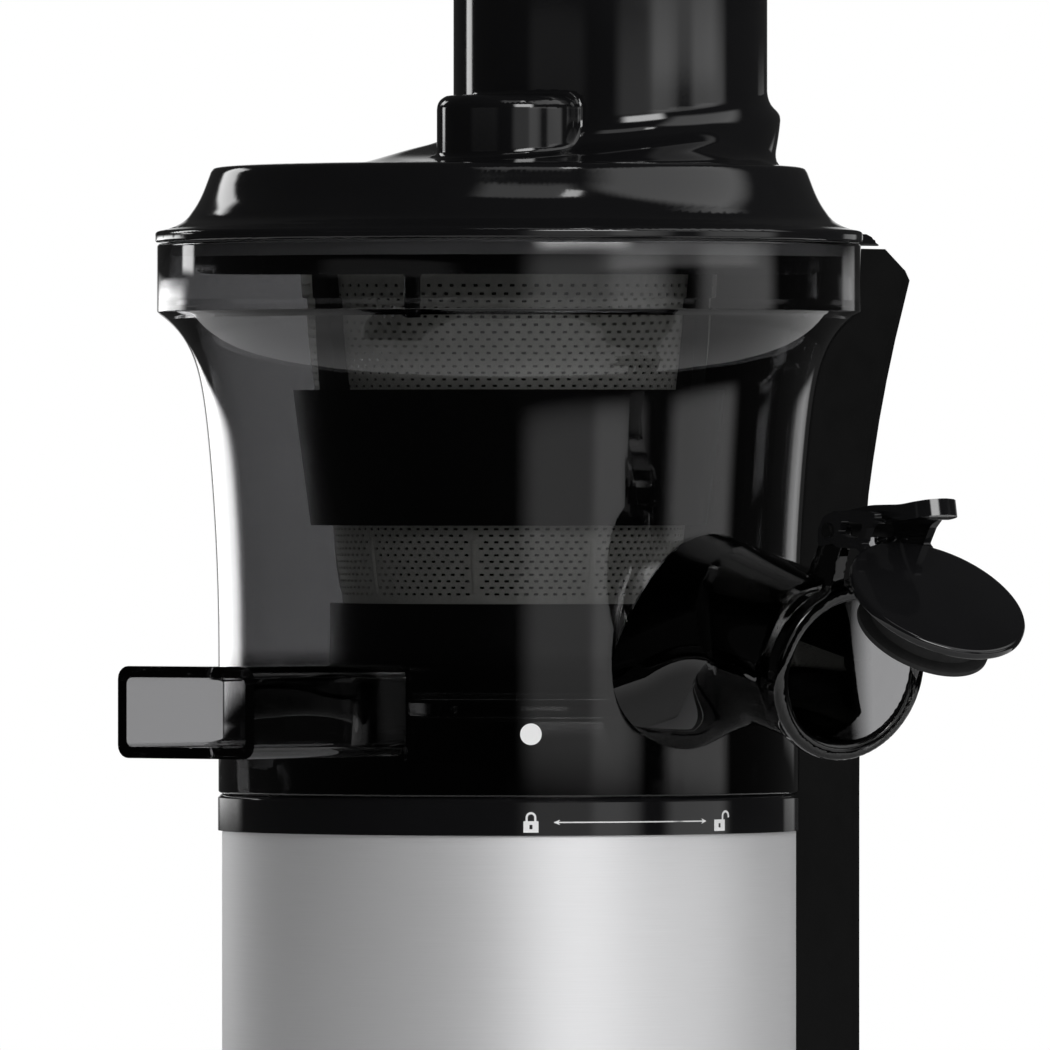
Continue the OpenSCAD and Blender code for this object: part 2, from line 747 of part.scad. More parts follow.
module motor_windings() {
    inner = rotor_r + air_gap + can_wall;
    color([0.72, 0.38, 0.16]) for (i = [0:stator_slots - 1]) rotate(i * 360 / stator_slots)
        translate([inner + seat, -slot_w / 2 + seat, core_z - coil_h])
            cube([slot_depth - 2 * seat, slot_w - 2 * seat, core_h + 2 * coil_h]);
    color([0.72, 0.38, 0.16]) for (z = [core_z - coil_h, core_z + core_h + seat])
        translate([0, 0, z]) ring(inner, inner + slot_depth, coil_h - seat);
}
module motor_bearings() {
    color([0.8, 0.8, 0.82]) for (z = [can_z, box_z - motor_bearing_h])
        translate([0, 0, z]) ring(motor_shaft_r + run_gap, motor_bearing_r, motor_bearing_h);
}
module motor_shaft() {
    color([0.75, 0.76, 0.78]) {
        translate([0, 0, fan_z - gear_gap])
            cylinder(r = motor_shaft_r, h = first_z + first_w - fan_z + gear_gap);
        translate([0, 0, first_z]) gear(first_module, pinion_teeth, first_w, 0);
    }
}
module motor_rotor() {
    color([0.5, 0.5, 0.53]) translate([0, 0, core_z]) ring(motor_shaft_r + seat, rotor_r, core_h);
}
module cooling_fan() {
    color([0.2, 0.2, 0.22]) translate([0, 0, fan_z]) {
        ring(motor_shaft_r + seat, fan_hub_r, fan_h);
        translate([0, 0, fan_h - can_wall]) ring(fan_hub_r - seat, fan_r, can_wall);
        for (i = [0:fan_blades - 1]) rotate(i * 360 / fan_blades)
            translate([fan_hub_r - can_wall / 2, -can_wall / 2, 0])
                cube([fan_r - fan_hub_r, can_wall, fan_h]);
    }
}

// Electrical pieces in the column

module control_board() {
    color([0.05, 0.32, 0.16]) translate([-board_w / 2, board_y, board_z])
        cube([board_w, board_t, board_h]);
}
module board_parts() {
    color([0.12, 0.12, 0.14]) translate([-board_w / 2 + board_edge, board_y - relay_h,
        board_z + board_edge])
        cube([relay_w, relay_h, relay_w]);
    color([0.12, 0.12, 0.14]) translate([board_edge, board_y - relay_h / 2, board_z + board_edge])
        cube([relay_w, relay_h / 2, relay_h]);
    color([0.12, 0.2, 0.5]) for (x = [-1, 1]) translate([x * relay_w / 2, board_y,
        board_z + board_h / 2 + board_edge])
        rotate([90, 0, 0]) cylinder(r = relay_h / 2, h = relay_h);
    color([0.85, 0.85, 0.8]) translate([-relay_w, board_y - relay_h / 2,
        board_z + board_h - 2 * board_edge])
        cube([2 * relay_w, relay_h / 2, board_edge]);
}
relay_w = 16;
relay_h = 8;
sensor_w = 16;
sensor_d = 5.6;
sensor_h = 4;
sensor_y = lid_r + tower_gap + wall + over;
module lid_sensor() {
    color([0.1, 0.1, 0.1]) translate([-sensor_w / 2, sensor_y, deck_z + tower_h - wall - sensor_h])
        cube([sensor_w, sensor_d, sensor_h]);
}
module switch_bezel() {
    front = column_back + switch_flange_t;
    cavity_w = rocker_w + 2 * rocker_gap;
    cavity_h = 2 * rocker_r + 2 * rocker_gap;
    color([0.05, 0.05, 0.05]) difference() {
        union() {
            translate([-switch_w / 2, column_back - switch_depth, switch_z - switch_h / 2])
                cube([switch_w, switch_depth + over / 2, switch_h]);
            translate([-switch_w / 2 - switch_flange, column_back,
                switch_z - switch_h / 2 - switch_flange])
                cube([switch_w + 2 * switch_flange, switch_flange_t, switch_h + 2 * switch_flange]);
        }
        translate([-cavity_w / 2, rocker_y - rocker_r - rocker_gap, switch_z - cavity_h / 2])
            cube([cavity_w, front - rocker_y + rocker_r + rocker_gap + over, cavity_h]);
        translate([-cavity_w / 2 - over, rocker_y, switch_z]) rotate([0, 90, 0])
            cylinder(r = rocker_pin_r + run_gap, h = cavity_w + 2 * over);
    }
}
module power_rocker() {
    color([0.02, 0.02, 0.02]) translate([0, rocker_y, switch_z]) {
        translate([-rocker_w / 2, 0, 0]) rotate([90, 0, 90]) linear_extrude(rocker_w) intersection() {
            circle(rocker_r);
            polygon([[-rocker_front, -rocker_r], [-rocker_front, rocker_r],
                [rocker_front + rocker_dish, rocker_r],
                [rocker_front, 0], [rocker_front + rocker_dish, -rocker_r]]);
        }
        translate([-rocker_w / 2 - rocker_gap - over / 2, 0, 0]) rotate([0, 90, 0])
            cylinder(r = rocker_pin_r, h = rocker_w + 2 * rocker_gap + over);
    }
}
module cord_gland() {
    inner = column_back - cover_t - wall - cover_t;
    color([0.05, 0.05, 0.05]) translate([0, inner, gland_z]) rotate([-90, 0, 0]) difference() {
        union() {
            cylinder(r = gland_r, h = column_back - inner + seat);
            translate([0, 0, column_back - inner])
                cylinder(r1 = gland_flange_r, r2 = gland_r, h = gland_out);
        }
        translate([0, 0, -over]) cylinder(r = gland_bore_r,
            h = column_back - inner + gland_out + 2 * over);
    }
}

// Auger

function mesh_r(z) = mesh_foot_r + (z - mesh_foot_z) * mesh_slope;
function cup_inner(z) = cup_foot_r + (mesh_foot_r - mesh_t - cup_foot_r) * (z - cup_z) / (mesh_foot_z - cup_z);
function auger_edge(z) = (z > mesh_top_z ? throat_r - flight_gap : z > mesh_foot_z ? mesh_r(z) - mesh_t
    : cup_inner(z)) - flight_gap;
auger_core_shares = [[1, 0], [1, 0.025], [0.9, 0.16], [0.8, 0.36], [0.66, 0.6], [0.5, 0.83], [0.34, 0.97],
    [0.24, 1]];
function core_r(share) = lookup(share, [for (p = auger_core_shares) [p[1], p[0]]]) * auger_foot_r;
module flight(start) {
    height = flight_top - flight_z;
    points = [for (i = [0:flight_steps]) let (t = i / flight_steps, z = flight_z + height * pow(t,
        flight_ease),
        a = start - 360 * flight_turns * t, r_in = core_r((z - auger_z) / (auger_top - auger_z)) - over,
        r_out = auger_edge(z + flight_t), half = flight_edge_share * flight_t / 2,
        root_half = flight_root_share * flight_t / 2)
        each [for (q = [[r_in, -root_half], [r_out, -half], [r_out, half], [r_in, root_half]])
            [q[0] * cos(a), q[0] * sin(a), z + q[1]]]];
    sides = [for (i = [0:flight_steps - 1], k = [0:3]) let (p = 4 * i + k, q = 4 * i + (k + 1) % 4)
        each [[p, p + 4, q], [q, p + 4, q + 4]]];
    last = 4 * flight_steps;
    polyhedron(points, concat(sides, [[0, 1, 2], [0, 2, 3], [last + 2, last + 1, last],
        [last + 3, last + 2, last]]));
}
module auger() {
    height = auger_top - auger_z;
    color([0.1, 0.1, 0.1]) difference() {
        union() {
            rotate_extrude() polygon(concat([[0, auger_z]],
                [for (p = auger_core_shares) [p[0] * auger_foot_r, auger_z + p[1] * height]],
                    [[0, auger_top]]));
            for (i = [0:flights - 1]) flight(i * 360 / flights);
        }
        translate([0, 0, auger_z - over])
            cylinder(r = hub_r + fit + well_gap, h = auger_socket_z - auger_z + over);
        translate([0, 0, auger_socket_z - over])
            cylinder(r = shaft_r + well_gap, h = hex_z + fit - auger_socket_z + over);
        translate([0, 0, hex_z]) cylinder(r = hex_r + fit, h = hex_h + well_gap, $fn = 6);
        translate([0, 0, auger_top - pin_depth]) cylinder(r = pin_r + seat, h = pin_depth + over);
    }
}
module auger_pin() {
    color([0.78, 0.79, 0.8]) translate([0, 0, auger_top - pin_depth])
        cylinder(r = pin_r, h = pin_depth + bush_z + bush_h - auger_top - over);
}

// Bowl, its pulp chute and its juice spout

flare_steps = 12;
flare_mix = 0.43;
flare_power = 13;
flare_ease = 1.7;
function flare(t) = flare_mix * pow(t, 2) + (1 - flare_mix) * pow(t, flare_power);
function flare_points() = [for (i = [0:flare_steps]) let (t = 1 - pow(1 - i / flare_steps, flare_ease))
    [bowl_r + (flare_r - bowl_r) * flare(t), flare_z + (collar_z - collar_step - flare_z) * t]];
module bowl_outline() {
    foot = deck_z + fit;
    inner = bowl_r - bowl_wall;
    points = flare_points();
    last = len(points) - 1;
    polygon(concat([[bowl_r, foot]], points, [[collar_r, collar_z], [collar_r, rim_z],
        [collar_r - bowl_wall, rim_z], [collar_r - bowl_wall, collar_z + bowl_wall]],
        [for (i = [last:-1:0]) [points[i][0] - bowl_wall, points[i][1]]],
        [[inner, floor_z], [well_r, floor_z], [well_r, well_z + cup_floor_t],
            [hub_r, well_z + cup_floor_t],
        [hub_r, well_z + hub_h], [hub_bore_r, well_z + hub_h], [hub_bore_r, well_z],
            [well_r + well_wall, well_z],
        [well_r + well_wall, floor_z - floor_t], [inner, floor_z - floor_t], [inner, foot]]));
}
module bowl_solid(gap) {
    rotate_extrude() polygon(concat([[0, deck_z - over], [bowl_r + gap, deck_z - over]],
        [for (p = flare_points()) [p[0] + gap, p[1]]], [[0, collar_z]]));
}
module at_spout() {
    translate([mouth_xy[0], mouth_xy[1], mouth_z]) rotate([0, spout_tilt, spout_turn - 90]) children();
}
module along_spout(r, from, to) {
    translate([from, 0, 0]) rotate([0, 90, 0]) cylinder(r = r, h = to - from);
}
module chute_box(w, h, r, from, to) {
    translate([0, -from, deck_z + chute_z + chute_h / 2 - h / 2]) rotate([90, 0, 0])
        linear_extrude(to - from) round_plate(w, h, r);
}
module bowl() {
    passage_w = chute_w - 2 * bowl_wall;
    passage_h = chute_h - 2 * bowl_wall;
    color([0.3, 0.3, 0.32, 0.5]) difference() {
        union() {
            rotate_extrude() bowl_outline();
            for (i = [0:lug_count - 1]) translate([0, 0, deck_z + bowl_lug_lift])
                sector(bowl_lug_r, bowl_r - bowl_wall + over / 2,
                    spigot_h - lug_h - lug_gap - bowl_lug_lift,
                    lug_start + i * 360 / lug_count, lug_span);
            intersection() {
                chute_box(chute_w, chute_h, chute_round, well_r + well_wall / 2, bowl_r);
                cylinder(r = bowl_r - bowl_wall / 2, h = rim_z);
            }
        }
        chute_box(passage_w, passage_h, over, well_r - well_wall, bowl_r + over);
        at_spout() along_spout(spout_bore_r, -spout_run + body_r / 2, -spout_run / 3);
    }
}
module pulp_chute() {
    color([0.25, 0.25, 0.27, 0.6]) difference() {
        chute_box(chute_w, chute_h, chute_round, bowl_r - chute_root, chute_reach);
        chute_box(chute_w - 2 * bowl_wall, chute_h - 2 * bowl_wall, over, well_r, chute_reach + over);
        bowl_solid(seat);
    }
}
module juice_spout() {
    run = spout_run / cos(spout_tilt);
    color([0.08, 0.08, 0.09, 0.8]) difference() {
        union() {
            at_spout() along_spout(spout_r, -run + body_r / 2, 0);
            at_spout() translate([-lip_l, 0, 0]) rotate([0, 90, 0]) rotate_extrude()
                polygon([[spout_bore_r, -lip_l],
                [spout_r, -lip_l], [spout_lip_r, 0], [spout_lip_r, lip_l - lip_chamfer / 2],
                [spout_lip_r - lip_chamfer / 2, lip_l], [spout_bore_r, lip_l]]);
            translate([mouth_xy[0], mouth_xy[1],
                mouth_z + (spout_run - root_run) * tan(spout_tilt) - root_drop])
                rotate([0, 0, spout_turn - 90]) translate([-spout_run + root_run, -root_side, 0])
                    rotate([0, 90 - root_rise, root_yaw])
                        cylinder(r1 = root_r, r2 = root_tip_r, h = root_l);
            at_spout() for (side = [-1, 1]) translate([0, side * (ear_in + ear_t / 2), 0]) rotate([90,
                0, 0])
                translate([0, 0, -ear_t / 2]) {
                    linear_extrude(ear_t) polygon([[hinge[0] - ear_foot, spout_bore_r + over],
                        [-lip_l / 2, spout_bore_r + over], [hinge[0] + ear_r, hinge[2]],
                            [hinge[0] - ear_r, hinge[2]]]);
                    translate([hinge[0], hinge[2], 0]) cylinder(r = ear_r, h = ear_t);
                }
        }
        at_spout() along_spout(spout_bore_r, -run, over);
        at_spout() rotate([0, 90, 0]) rotate_extrude()
            polygon([[0, over], [spout_bore_r + lip_chamfer + over, over],
            [spout_bore_r, -lip_chamfer], [0, -lip_chamfer]]);
        at_spout() translate(hinge) rotate([90, 0, 0])
            cylinder(r = hinge_pin_r + seat, h = 2 * hinge_w, center = true);
        bowl_solid(seat);
    }
}
module hinge_pin() {
    color([0.1, 0.1, 0.1]) at_spout() translate(hinge) rotate([90, 0, 0])
        cylinder(r = hinge_pin_r, h = hinge_w, center = true);
}
module hub_seal() {
    color([0.6, 0.6, 0.6]) translate([0, 0, well_z + hub_h - seal_w])
        ring(shaft_r + run_gap, hub_bore_r - seat, seal_w);
}

// Spout cap, drawn shut and turned open about its pin

module at_cap() {
    at_spout() translate(hinge) rotate([0, -cap_open, 0]) translate(-hinge) children();
}
function scaled(shares, unit) = [for (p = shares) unit * p];
module spout_cap() {
    lever_in = ear_in + ear_t + lever_gap;
    color([0.03, 0.03, 0.03]) at_cap() difference() {
        union() {
            along_spout(cap_r, cap_gap, cap_gap + cap_t);
            translate(hinge) for (side = [-1, 1]) translate([0, side * (lever_in + lever_t / 2), 0])
                rotate([90, 0, 0]) translate([0, 0, -lever_t / 2]) linear_extrude(lever_t)
                    difference() {
                        polygon(scaled(lever_shares, hinge_up));
                        polygon(scaled(window_shares, hinge_up));
                    }
            translate(hinge) rotate([90, 0, 0]) translate([0, 0, -lever_in - lever_t])
                linear_extrude(2 * (lever_in + lever_t)) polygon(scaled(tab_shares, hinge_up));
        }
        translate(hinge) rotate([90, 0, 0])
            cylinder(r = hinge_pin_r + run_gap, h = 2 * hinge_w, center = true);
    }
}
module cap_seal() {
    color([0.12, 0.12, 0.12]) at_cap() translate([cap_gap, 0, 0]) rotate([0, -90, 0])
        rotate_extrude() polygon([[0, 0],
        [plug_neck_r + plug_wall / 2, 0], [plug_neck_r, plug_wall], [plug_neck_r, plug_l - plug_flange_t],
        [plug_r, plug_l - plug_flange_t / 2], [plug_r, plug_l], [plug_r - plug_wall, plug_l],
        [plug_r - 2 * plug_wall, plug_l - plug_flange_t / 2], [0, plug_l - plug_flange_t / 2]]);
}

// Strainer

module strainer_frame() {
    color([0.05, 0.05, 0.05]) {
        difference() {
            rotate_extrude() polygon([[hub_r + well_gap, cup_z], [cup_r, cup_z],
                [cup_r, mesh_foot_z - seat],
                [cup_inner(mesh_foot_z), mesh_foot_z - seat], [cup_foot_r, cup_z + cup_floor_t],
                [hub_r + well_gap, cup_z + cup_floor_t]]);
            translate([-chute_w / 2 + 2 * bowl_wall, -cup_r - over, cup_z + cup_floor_t])
                cube([chute_w - 4 * bowl_wall, cup_r / 2, chute_h - 3 * bowl_wall]);
        }
        rotate_extrude() polygon([[mesh_r(band_z) + seat, band_z], [band_r, band_z],
            [band_top_r, band_top],
            [mesh_r(band_top) + seat, band_top]]);
        rotate_extrude() polygon([[mesh_r(mesh_top_z) - mesh_t, mesh_top_z + seat],
            [mesh_rim_r, mesh_top_z + seat],
            [mesh_rim_r, mesh_top_z + mesh_rim_h],
                [mesh_r(mesh_top_z) - mesh_t, mesh_top_z + mesh_rim_h]]);
        intersection() {
            rotate_extrude() polygon([[mesh_r(band_top - over) + 3 * seat, band_top - over],
                [mesh_r(band_top) + bar_t, band_top - over],
                    [mesh_r(mesh_top_z) + bar_t - over, mesh_top_z + over],
                [mesh_r(mesh_top_z + over) + 3 * seat, mesh_top_z + over]]);
            for (i = [0:bar_count - 1]) rotate(bar_start - 90 + i * 360 / bar_count)
                translate([0, -bar_w / 2, band_top - over])
                    cube([2 * mesh_rim_r, bar_w, mesh_top_z - band_top + 2 * over]);
        }
    }
}
module strainer_mesh() {
    color([0.75, 0.75, 0.72]) difference() {
        rotate_extrude() polygon([[mesh_r(mesh_foot_z) - mesh_t, mesh_foot_z],
            [mesh_r(mesh_foot_z), mesh_foot_z],
            [mesh_r(mesh_top_z), mesh_top_z], [mesh_r(mesh_top_z) - mesh_t, mesh_top_z]]);
        for (i = [0:slit_count - 1]) rotate(slit_start - 90 + i * 360 / slit_count)
            translate([mesh_foot_r / 2, -slit_w / 2, mesh_foot_z + slit_w])
                cube([mesh_rim_r, slit_w, slit_h]);
    }
}

// Lid with its bearing boss, and the feed chute

function lid_points() = [for (p = lid_shares) [p[0] * lid_r, lid_z + p[1] * lid_h]];
module at_feed(z) { translate([0, feed_y, z]) children(); }
module lid_mound() {
    hull() {
        translate([0, mound_y, lid_top - over]) cylinder(r = mound_r, h = over + seat, $fn = 48);
        at_feed(lid_top + mound_h) rotate([mound_tilt, 0, 0])
            cylinder(r = feed_r + mound_over, h = mound_slice, $fn = 48);
    }
    intersection() {
        at_feed(0) rotate_extrude() polygon([[feed_r - over, lid_top - over],
            [feed_r + shoulder_r, lid_top - over],
            [feed_r + shoulder_r / 2, lid_top + shoulder_h / 5],
                [feed_r + shoulder_r / 5, lid_top + shoulder_h / 2],
            [feed_r, lid_top + shoulder_h], [feed_r - over, lid_top + shoulder_h]]);
        translate([0, 0, lid_top - 2 * over]) cylinder(r = mound_r + mound_y, h = 2 * shoulder_h);
    }
}
module lid_tab() {
    low = lid_z + tab_lift;
    high = lid_z + tab_top;
    translate([-tab_w / 2, 0, 0]) rotate([90, 0, 90]) linear_extrude(tab_w) polygon([[skirt_r, low],
        [tab_reach, low], [tab_reach, low + tab_lip], [tab_reach - tab_chamfer, high], [skirt_r, high]]);
}
module lid() {
    cavity_r = skirt_r - lid_wall;
    color([0.02, 0.02, 0.02]) difference() {
        union() {
            difference() {
                union() {
                    rotate_extrude() polygon(concat([[0, lid_z + lid_gap]], lid_points()));
                    translate([0, 0, lid_z - skirt_drop]) cylinder(r = skirt_r, h = skirt_drop + over);
                    lid_mound();
                    at_feed(lid_z + lid_h / 4) cylinder(r = feed_r, h = collar_top - lid_z - lid_h / 4);
                    lid_tab();
                }
                rotate_extrude() polygon([[0, lid_z - skirt_drop - over],
                    [cavity_r, lid_z - skirt_drop - over],
                    [cavity_r, lid_z + lid_h / 3], [lid_points()[7][0] - lid_wall, lid_top - lid_wall],
                    [0, lid_top - lid_wall]]);
                at_feed(lid_top + throat_floor) cylinder(r = feed_r - feed_wall, h = collar_top);
            }
            translate([0, 0, lid_z - lid_gap - over])
                ring(throat_r, throat_r + lid_wall, lid_h - lid_wall + 2 * over);
            rotate(key_turn - 90) translate([skirt_r - lid_wall, -key_w / 2, lid_z - skirt_drop - key_l])
                cube([key_t, key_w, key_l + over]);
        }
        translate([0, 0, boss_z - over]) linear_extrude(lid_top + throat_floor - boss_z + 2 * over) intersection() {
            circle(throat_r);
            translate([0, feed_y]) circle(feed_r - feed_wall);
        }
        translate([0, 0, boss_z]) cylinder(r = boss_r - over, h = lid_h);
        translate([0, magnet_y, lid_z + tab_lift - over])
            cylinder(r = magnet_r + seat, h = over + magnet_h + seat);
    }
    color([0.02, 0.02, 0.02]) difference() {
        rotate_extrude() polygon(concat([[0, boss_z], [boss_r, boss_z]],
            [for (p = boss_round_shares) [p[0] * boss_r, lid_top + p[1] * boss_h]]));
        translate([0, 0, boss_z - over]) cylinder(r = bush_r + seat, h = bush_z + bush_h - boss_z + over);
    }
}
module feed_chute() {
    color([0.02, 0.02, 0.02]) at_feed(collar_top + seat)
        ring(feed_r - feed_wall, feed_r, feed_top - collar_top - seat);
}
module lid_bush() {
    color([0.8, 0.78, 0.7]) translate([0, 0, bush_z]) ring(pin_r + run_gap, bush_r, bush_h);
}
module lid_seal() {
    color([0.5, 0.5, 0.5]) translate([0, 0, lid_z + lid_gap - seal_h])
        ring(collar_r - bowl_wall - seal_gap - seal_w, collar_r - bowl_wall - seal_gap, seal_h);
}
module lid_magnet() {
    color([0.6, 0.6, 0.62]) translate([0, magnet_y, lid_z + tab_lift + seat])
        cylinder(r = magnet_r, h = magnet_h - seat);
}
module pusher() {
    r = feed_r - feed_wall - pusher_gap;
    bore_r = r - pusher_wall;
    rim_top = feed_top + pusher_rim_h;
    grip_r = bore_r + grip_wall;
    color([0.03, 0.03, 0.03]) at_feed(0) difference() {
        rotate_extrude() polygon([[0, pusher_z], [r - grip_round, pusher_z], [r, pusher_z + grip_round],
            [r, feed_top + fit], [feed_r - fit, feed_top + fit], [feed_r - fit, rim_top - over],
            [feed_r - fit - over, rim_top], [grip_r, rim_top], [grip_r, rim_top + grip_h - over],
            [grip_r - over, rim_top + grip_h], [0, rim_top + grip_h]]);
        translate([0, 0, pusher_z + pusher_wall]) cylinder(r = bore_r, h = rim_top + grip_h - pusher_z);
    }
}

base_pan();
rubber_feet();
foot_screws();
body_sleeve();
lock_ring();
rear_housing();
tower_shell();
back_cover();
cover_screws();
gearbox_base();
gear_bridge();
gearbox_cover();
gearbox_screws();
gearbox_bearings();
motor_can();
motor_stator();
motor_windings();
motor_bearings();
deck_seal();
control_board();
board_parts();
lid_sensor();
switch_bezel();
cord_gland();
power_rocker();
motor_shaft();
motor_rotor();
cooling_fan();
idler_gear();
output_gear();
drive_shaft();
auger();
auger_pin();
bowl();
pulp_chute();
juice_spout();
hinge_pin();
hub_seal();
strainer_frame();
strainer_mesh();
spout_cap();
cap_seal();
lid();
feed_chute();
lid_bush();
lid_seal();
lid_magnet();
pusher();
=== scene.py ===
"""Looks of the cold press juicer: materials, clear mouldings, lid, mesh and print round the frame."""

import json
import math

import bpy
import bmesh
import numpy as np
from mathutils import Matrix, Vector


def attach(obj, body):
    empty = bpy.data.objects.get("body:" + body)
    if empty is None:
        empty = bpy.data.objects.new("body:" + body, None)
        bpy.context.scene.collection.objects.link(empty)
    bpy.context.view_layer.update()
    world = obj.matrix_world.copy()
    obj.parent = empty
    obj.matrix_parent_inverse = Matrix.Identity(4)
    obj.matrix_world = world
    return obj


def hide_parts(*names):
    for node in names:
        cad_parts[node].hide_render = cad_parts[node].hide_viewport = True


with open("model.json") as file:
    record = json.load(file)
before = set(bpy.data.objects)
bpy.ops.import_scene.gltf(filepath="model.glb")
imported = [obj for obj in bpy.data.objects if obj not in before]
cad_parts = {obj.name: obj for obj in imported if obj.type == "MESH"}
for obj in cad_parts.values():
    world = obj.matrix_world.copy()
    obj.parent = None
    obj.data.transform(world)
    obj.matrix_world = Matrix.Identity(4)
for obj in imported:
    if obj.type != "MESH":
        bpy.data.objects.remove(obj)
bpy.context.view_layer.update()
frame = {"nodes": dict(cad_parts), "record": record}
MM = 0.001

# Heights above the table in mm: the base's deck, the bowl's rim and the lid's flat top.
DECK = 165.0
RIM = 294.1
LID_TOP = 312.5

# ---------------------------------------------------------------- camera

CAM_AZ = math.radians(37.4)
CAM_DIST = 4.0
FIELD = 0.2470  # metres across the picture at the distance of the aim
SENSOR = 36
CAM_SIDE = 0.00376
CAM_Z, AIM_Z = 0.2393, 0.2280
toward = Vector((math.sin(CAM_AZ), -math.cos(CAM_AZ), 0))
right = Vector((math.cos(CAM_AZ), math.sin(CAM_AZ), 0))
aim = right * CAM_SIDE + Vector((0, 0, AIM_Z))
eye = aim + toward * CAM_DIST + Vector((0, 0, CAM_Z - AIM_Z))
camera = bpy.data.objects.new("camera", bpy.data.cameras.new("camera"))
bpy.context.scene.collection.objects.link(camera)
camera.location = eye
camera.rotation_mode = "QUATERNION"
camera.rotation_quaternion = (aim - eye).to_track_quat("-Z", "Y")
camera.data.sensor_width = SENSOR
camera.data.lens = SENSOR * CAM_DIST / FIELD
camera.data.clip_start, camera.data.clip_end = 0.1, 50
bpy.context.scene.camera = camera


# ---------------------------------------------------------------- node materials

class Graph:
    """A small helper for building the node tree of a material, a world or a lamp."""

    def __init__(self, owner):
        owner.use_nodes = True
        self.tree = owner.node_tree

    def node(self, kind, **settings):
        n = self.tree.nodes.new(kind)
        for k, v in settings.items():
            setattr(n, k, v)
        return n

    def link(self, a, b):
        self.tree.links.new(a, b)

    def coords(self, scale=(1, 1, 1)):
        place = self.node("ShaderNodeMapping")
        place.inputs["Scale"].default_value = scale
        self.link(self.node("ShaderNodeTexCoord").outputs["Object"], place.inputs["Vector"])
        return place.outputs["Vector"]

    def noise(self, vector, scale, detail=3.0, rough=0.5):
        n = self.node("ShaderNodeTexNoise")
        n.inputs["Scale"].default_value = scale
        n.inputs["Detail"].default_value = detail
        n.inputs["Roughness"].default_value = rough
        self.link(vector, n.inputs["Vector"])
        return n.outputs["Fac"]

    def spread(self, value, lo, hi, from_lo=0.3, from_hi=0.7, curve="LINEAR"):
        """Maps a value's range on another one, without passing its ends."""
        m = self.node("ShaderNodeMapRange", interpolation_type=curve)
        ends = {"From Min": from_lo, "From Max": from_hi, "To Min": lo, "To Max": hi}
        for k, v in ends.items():
            m.inputs[k].default_value = v
        self.link(value, m.inputs["Value"])
        return m.outputs["Result"]

    def ramp(self, value, stops):
        r = self.node("ShaderNodeValToRGB")
        while len(r.color_ramp.elements) < len(stops):
            r.color_ramp.elements.new(0.5)
        for e, (place, colour) in zip(r.color_ramp.elements, stops):
            e.position = place
            e.color = (*colour, 1)
        self.link(value, r.inputs["Fac"])
        return r.outputs["Color"]

    def fold(self, operation, first, *others):
        """Joins values one after the other by the same operation of maths nodes."""
        for value in others:
            both = self.node("ShaderNodeMath", operation=operation)
            self.link(first, both.inputs[0])
            self.link(value, both.inputs[1])
            first = both.outputs[0]
        return first

    def dot(self, vector, way):
        product = self.node("ShaderNodeVectorMath", operation="DOT_PRODUCT")
        self.link(vector, product.inputs[0])
        product.inputs[1].default_value = tuple(way)
        return product.outputs["Value"]

    def mix(self, share, first, second):
        """Mixes two colours, each of them a socket or an RGB value."""
        both = self.node("ShaderNodeMix", data_type="RGBA")
        self.link(share, both.inputs[0])
        for k, colour in ((6, first), (7, second)):
            if isinstance(colour, tuple):
                both.inputs[k].default_value = (*colour, 1)
            else:
                self.link(colour, both.inputs[k])
        return both.outputs[2]


class Surface(Graph):
    """A new material; its inputs are named with _ for a space."""

    def __init__(self, name):
        self.mat = bpy.data.materials.new(name)
        super().__init__(self.mat)
        self.bsdf = self.tree.nodes["Principled BSDF"]

    def set(self, **values):
        for k, v in values.items():
            self.bsdf.inputs[k.replace("_", " ")].default_value = v

    def feed(self, **sockets):
        for k, v in sockets.items():
            self.link(v, self.bsdf.inputs[k.replace("_", " ")])

    def bump(self, height, strength, distance):
        b = self.node("ShaderNodeBump")
        b.inputs["Strength"].default_value = strength
        b.inputs["Distance"].default_value = distance
        self.link(height, b.inputs["Height"])
        self.feed(Normal=b.outputs["Normal"])

    def show(self, shader):
        self.link(shader, self.tree.nodes["Material Output"].inputs["Surface"])


def plastic(name, colour, rough, shine=0.5, grain=0.0, grain_scale=2500):
    """Moulded plastic: slight mottling in the colour, uneven gloss and a fine moulded grain."""
    g = Surface(name)
    v = g.coords()
    dark = tuple(c * 0.82 for c in colour)
    g.feed(Base_Color=g.ramp(g.noise(v, 35), [(0.35, dark), (0.7, colour)]),
           Roughness=g.spread(g.noise(v, 140, 4), rough * 0.85, rough * 1.2))
    g.set(Specular_IOR_Level=shine)
    if grain:
        g.bump(g.noise(v, grain_scale, 2), grain, 0.00008)
    return g.mat


def metal(name, colour, rough, stretch=(1, 1, 1), scale=300, grain=0.08,
          aniso=0.0, turn=0.0, metallic=1.0, swing=1.0):
    """Metal with tool or brush marks across the stretched axis; swing scales their contrast."""
    g = Surface(name)
    marks = g.noise(g.coords(stretch), scale, 6, 0.65)
    lo = tuple(c * (1 - 0.14 * swing) for c in colour)
    hi = tuple(min(c * (1 + 0.06 * swing), 1) for c in colour)
    g.feed(Base_Color=g.ramp(marks, [(0.3, lo), (0.7, hi)]),
           Roughness=g.spread(marks, rough * (1 - 0.2 * swing), rough * (1 + 0.25 * swing)))
    g.set(Metallic=metallic, Anisotropic=aniso, Anisotropic_Rotation=turn)
    if aniso:
        tangent = g.node("ShaderNodeTangent", direction_type="RADIAL", axis="Z")
        g.feed(Tangent=tangent.outputs["Tangent"])
    g.bump(marks, grain, 0.00004)
    return g.mat


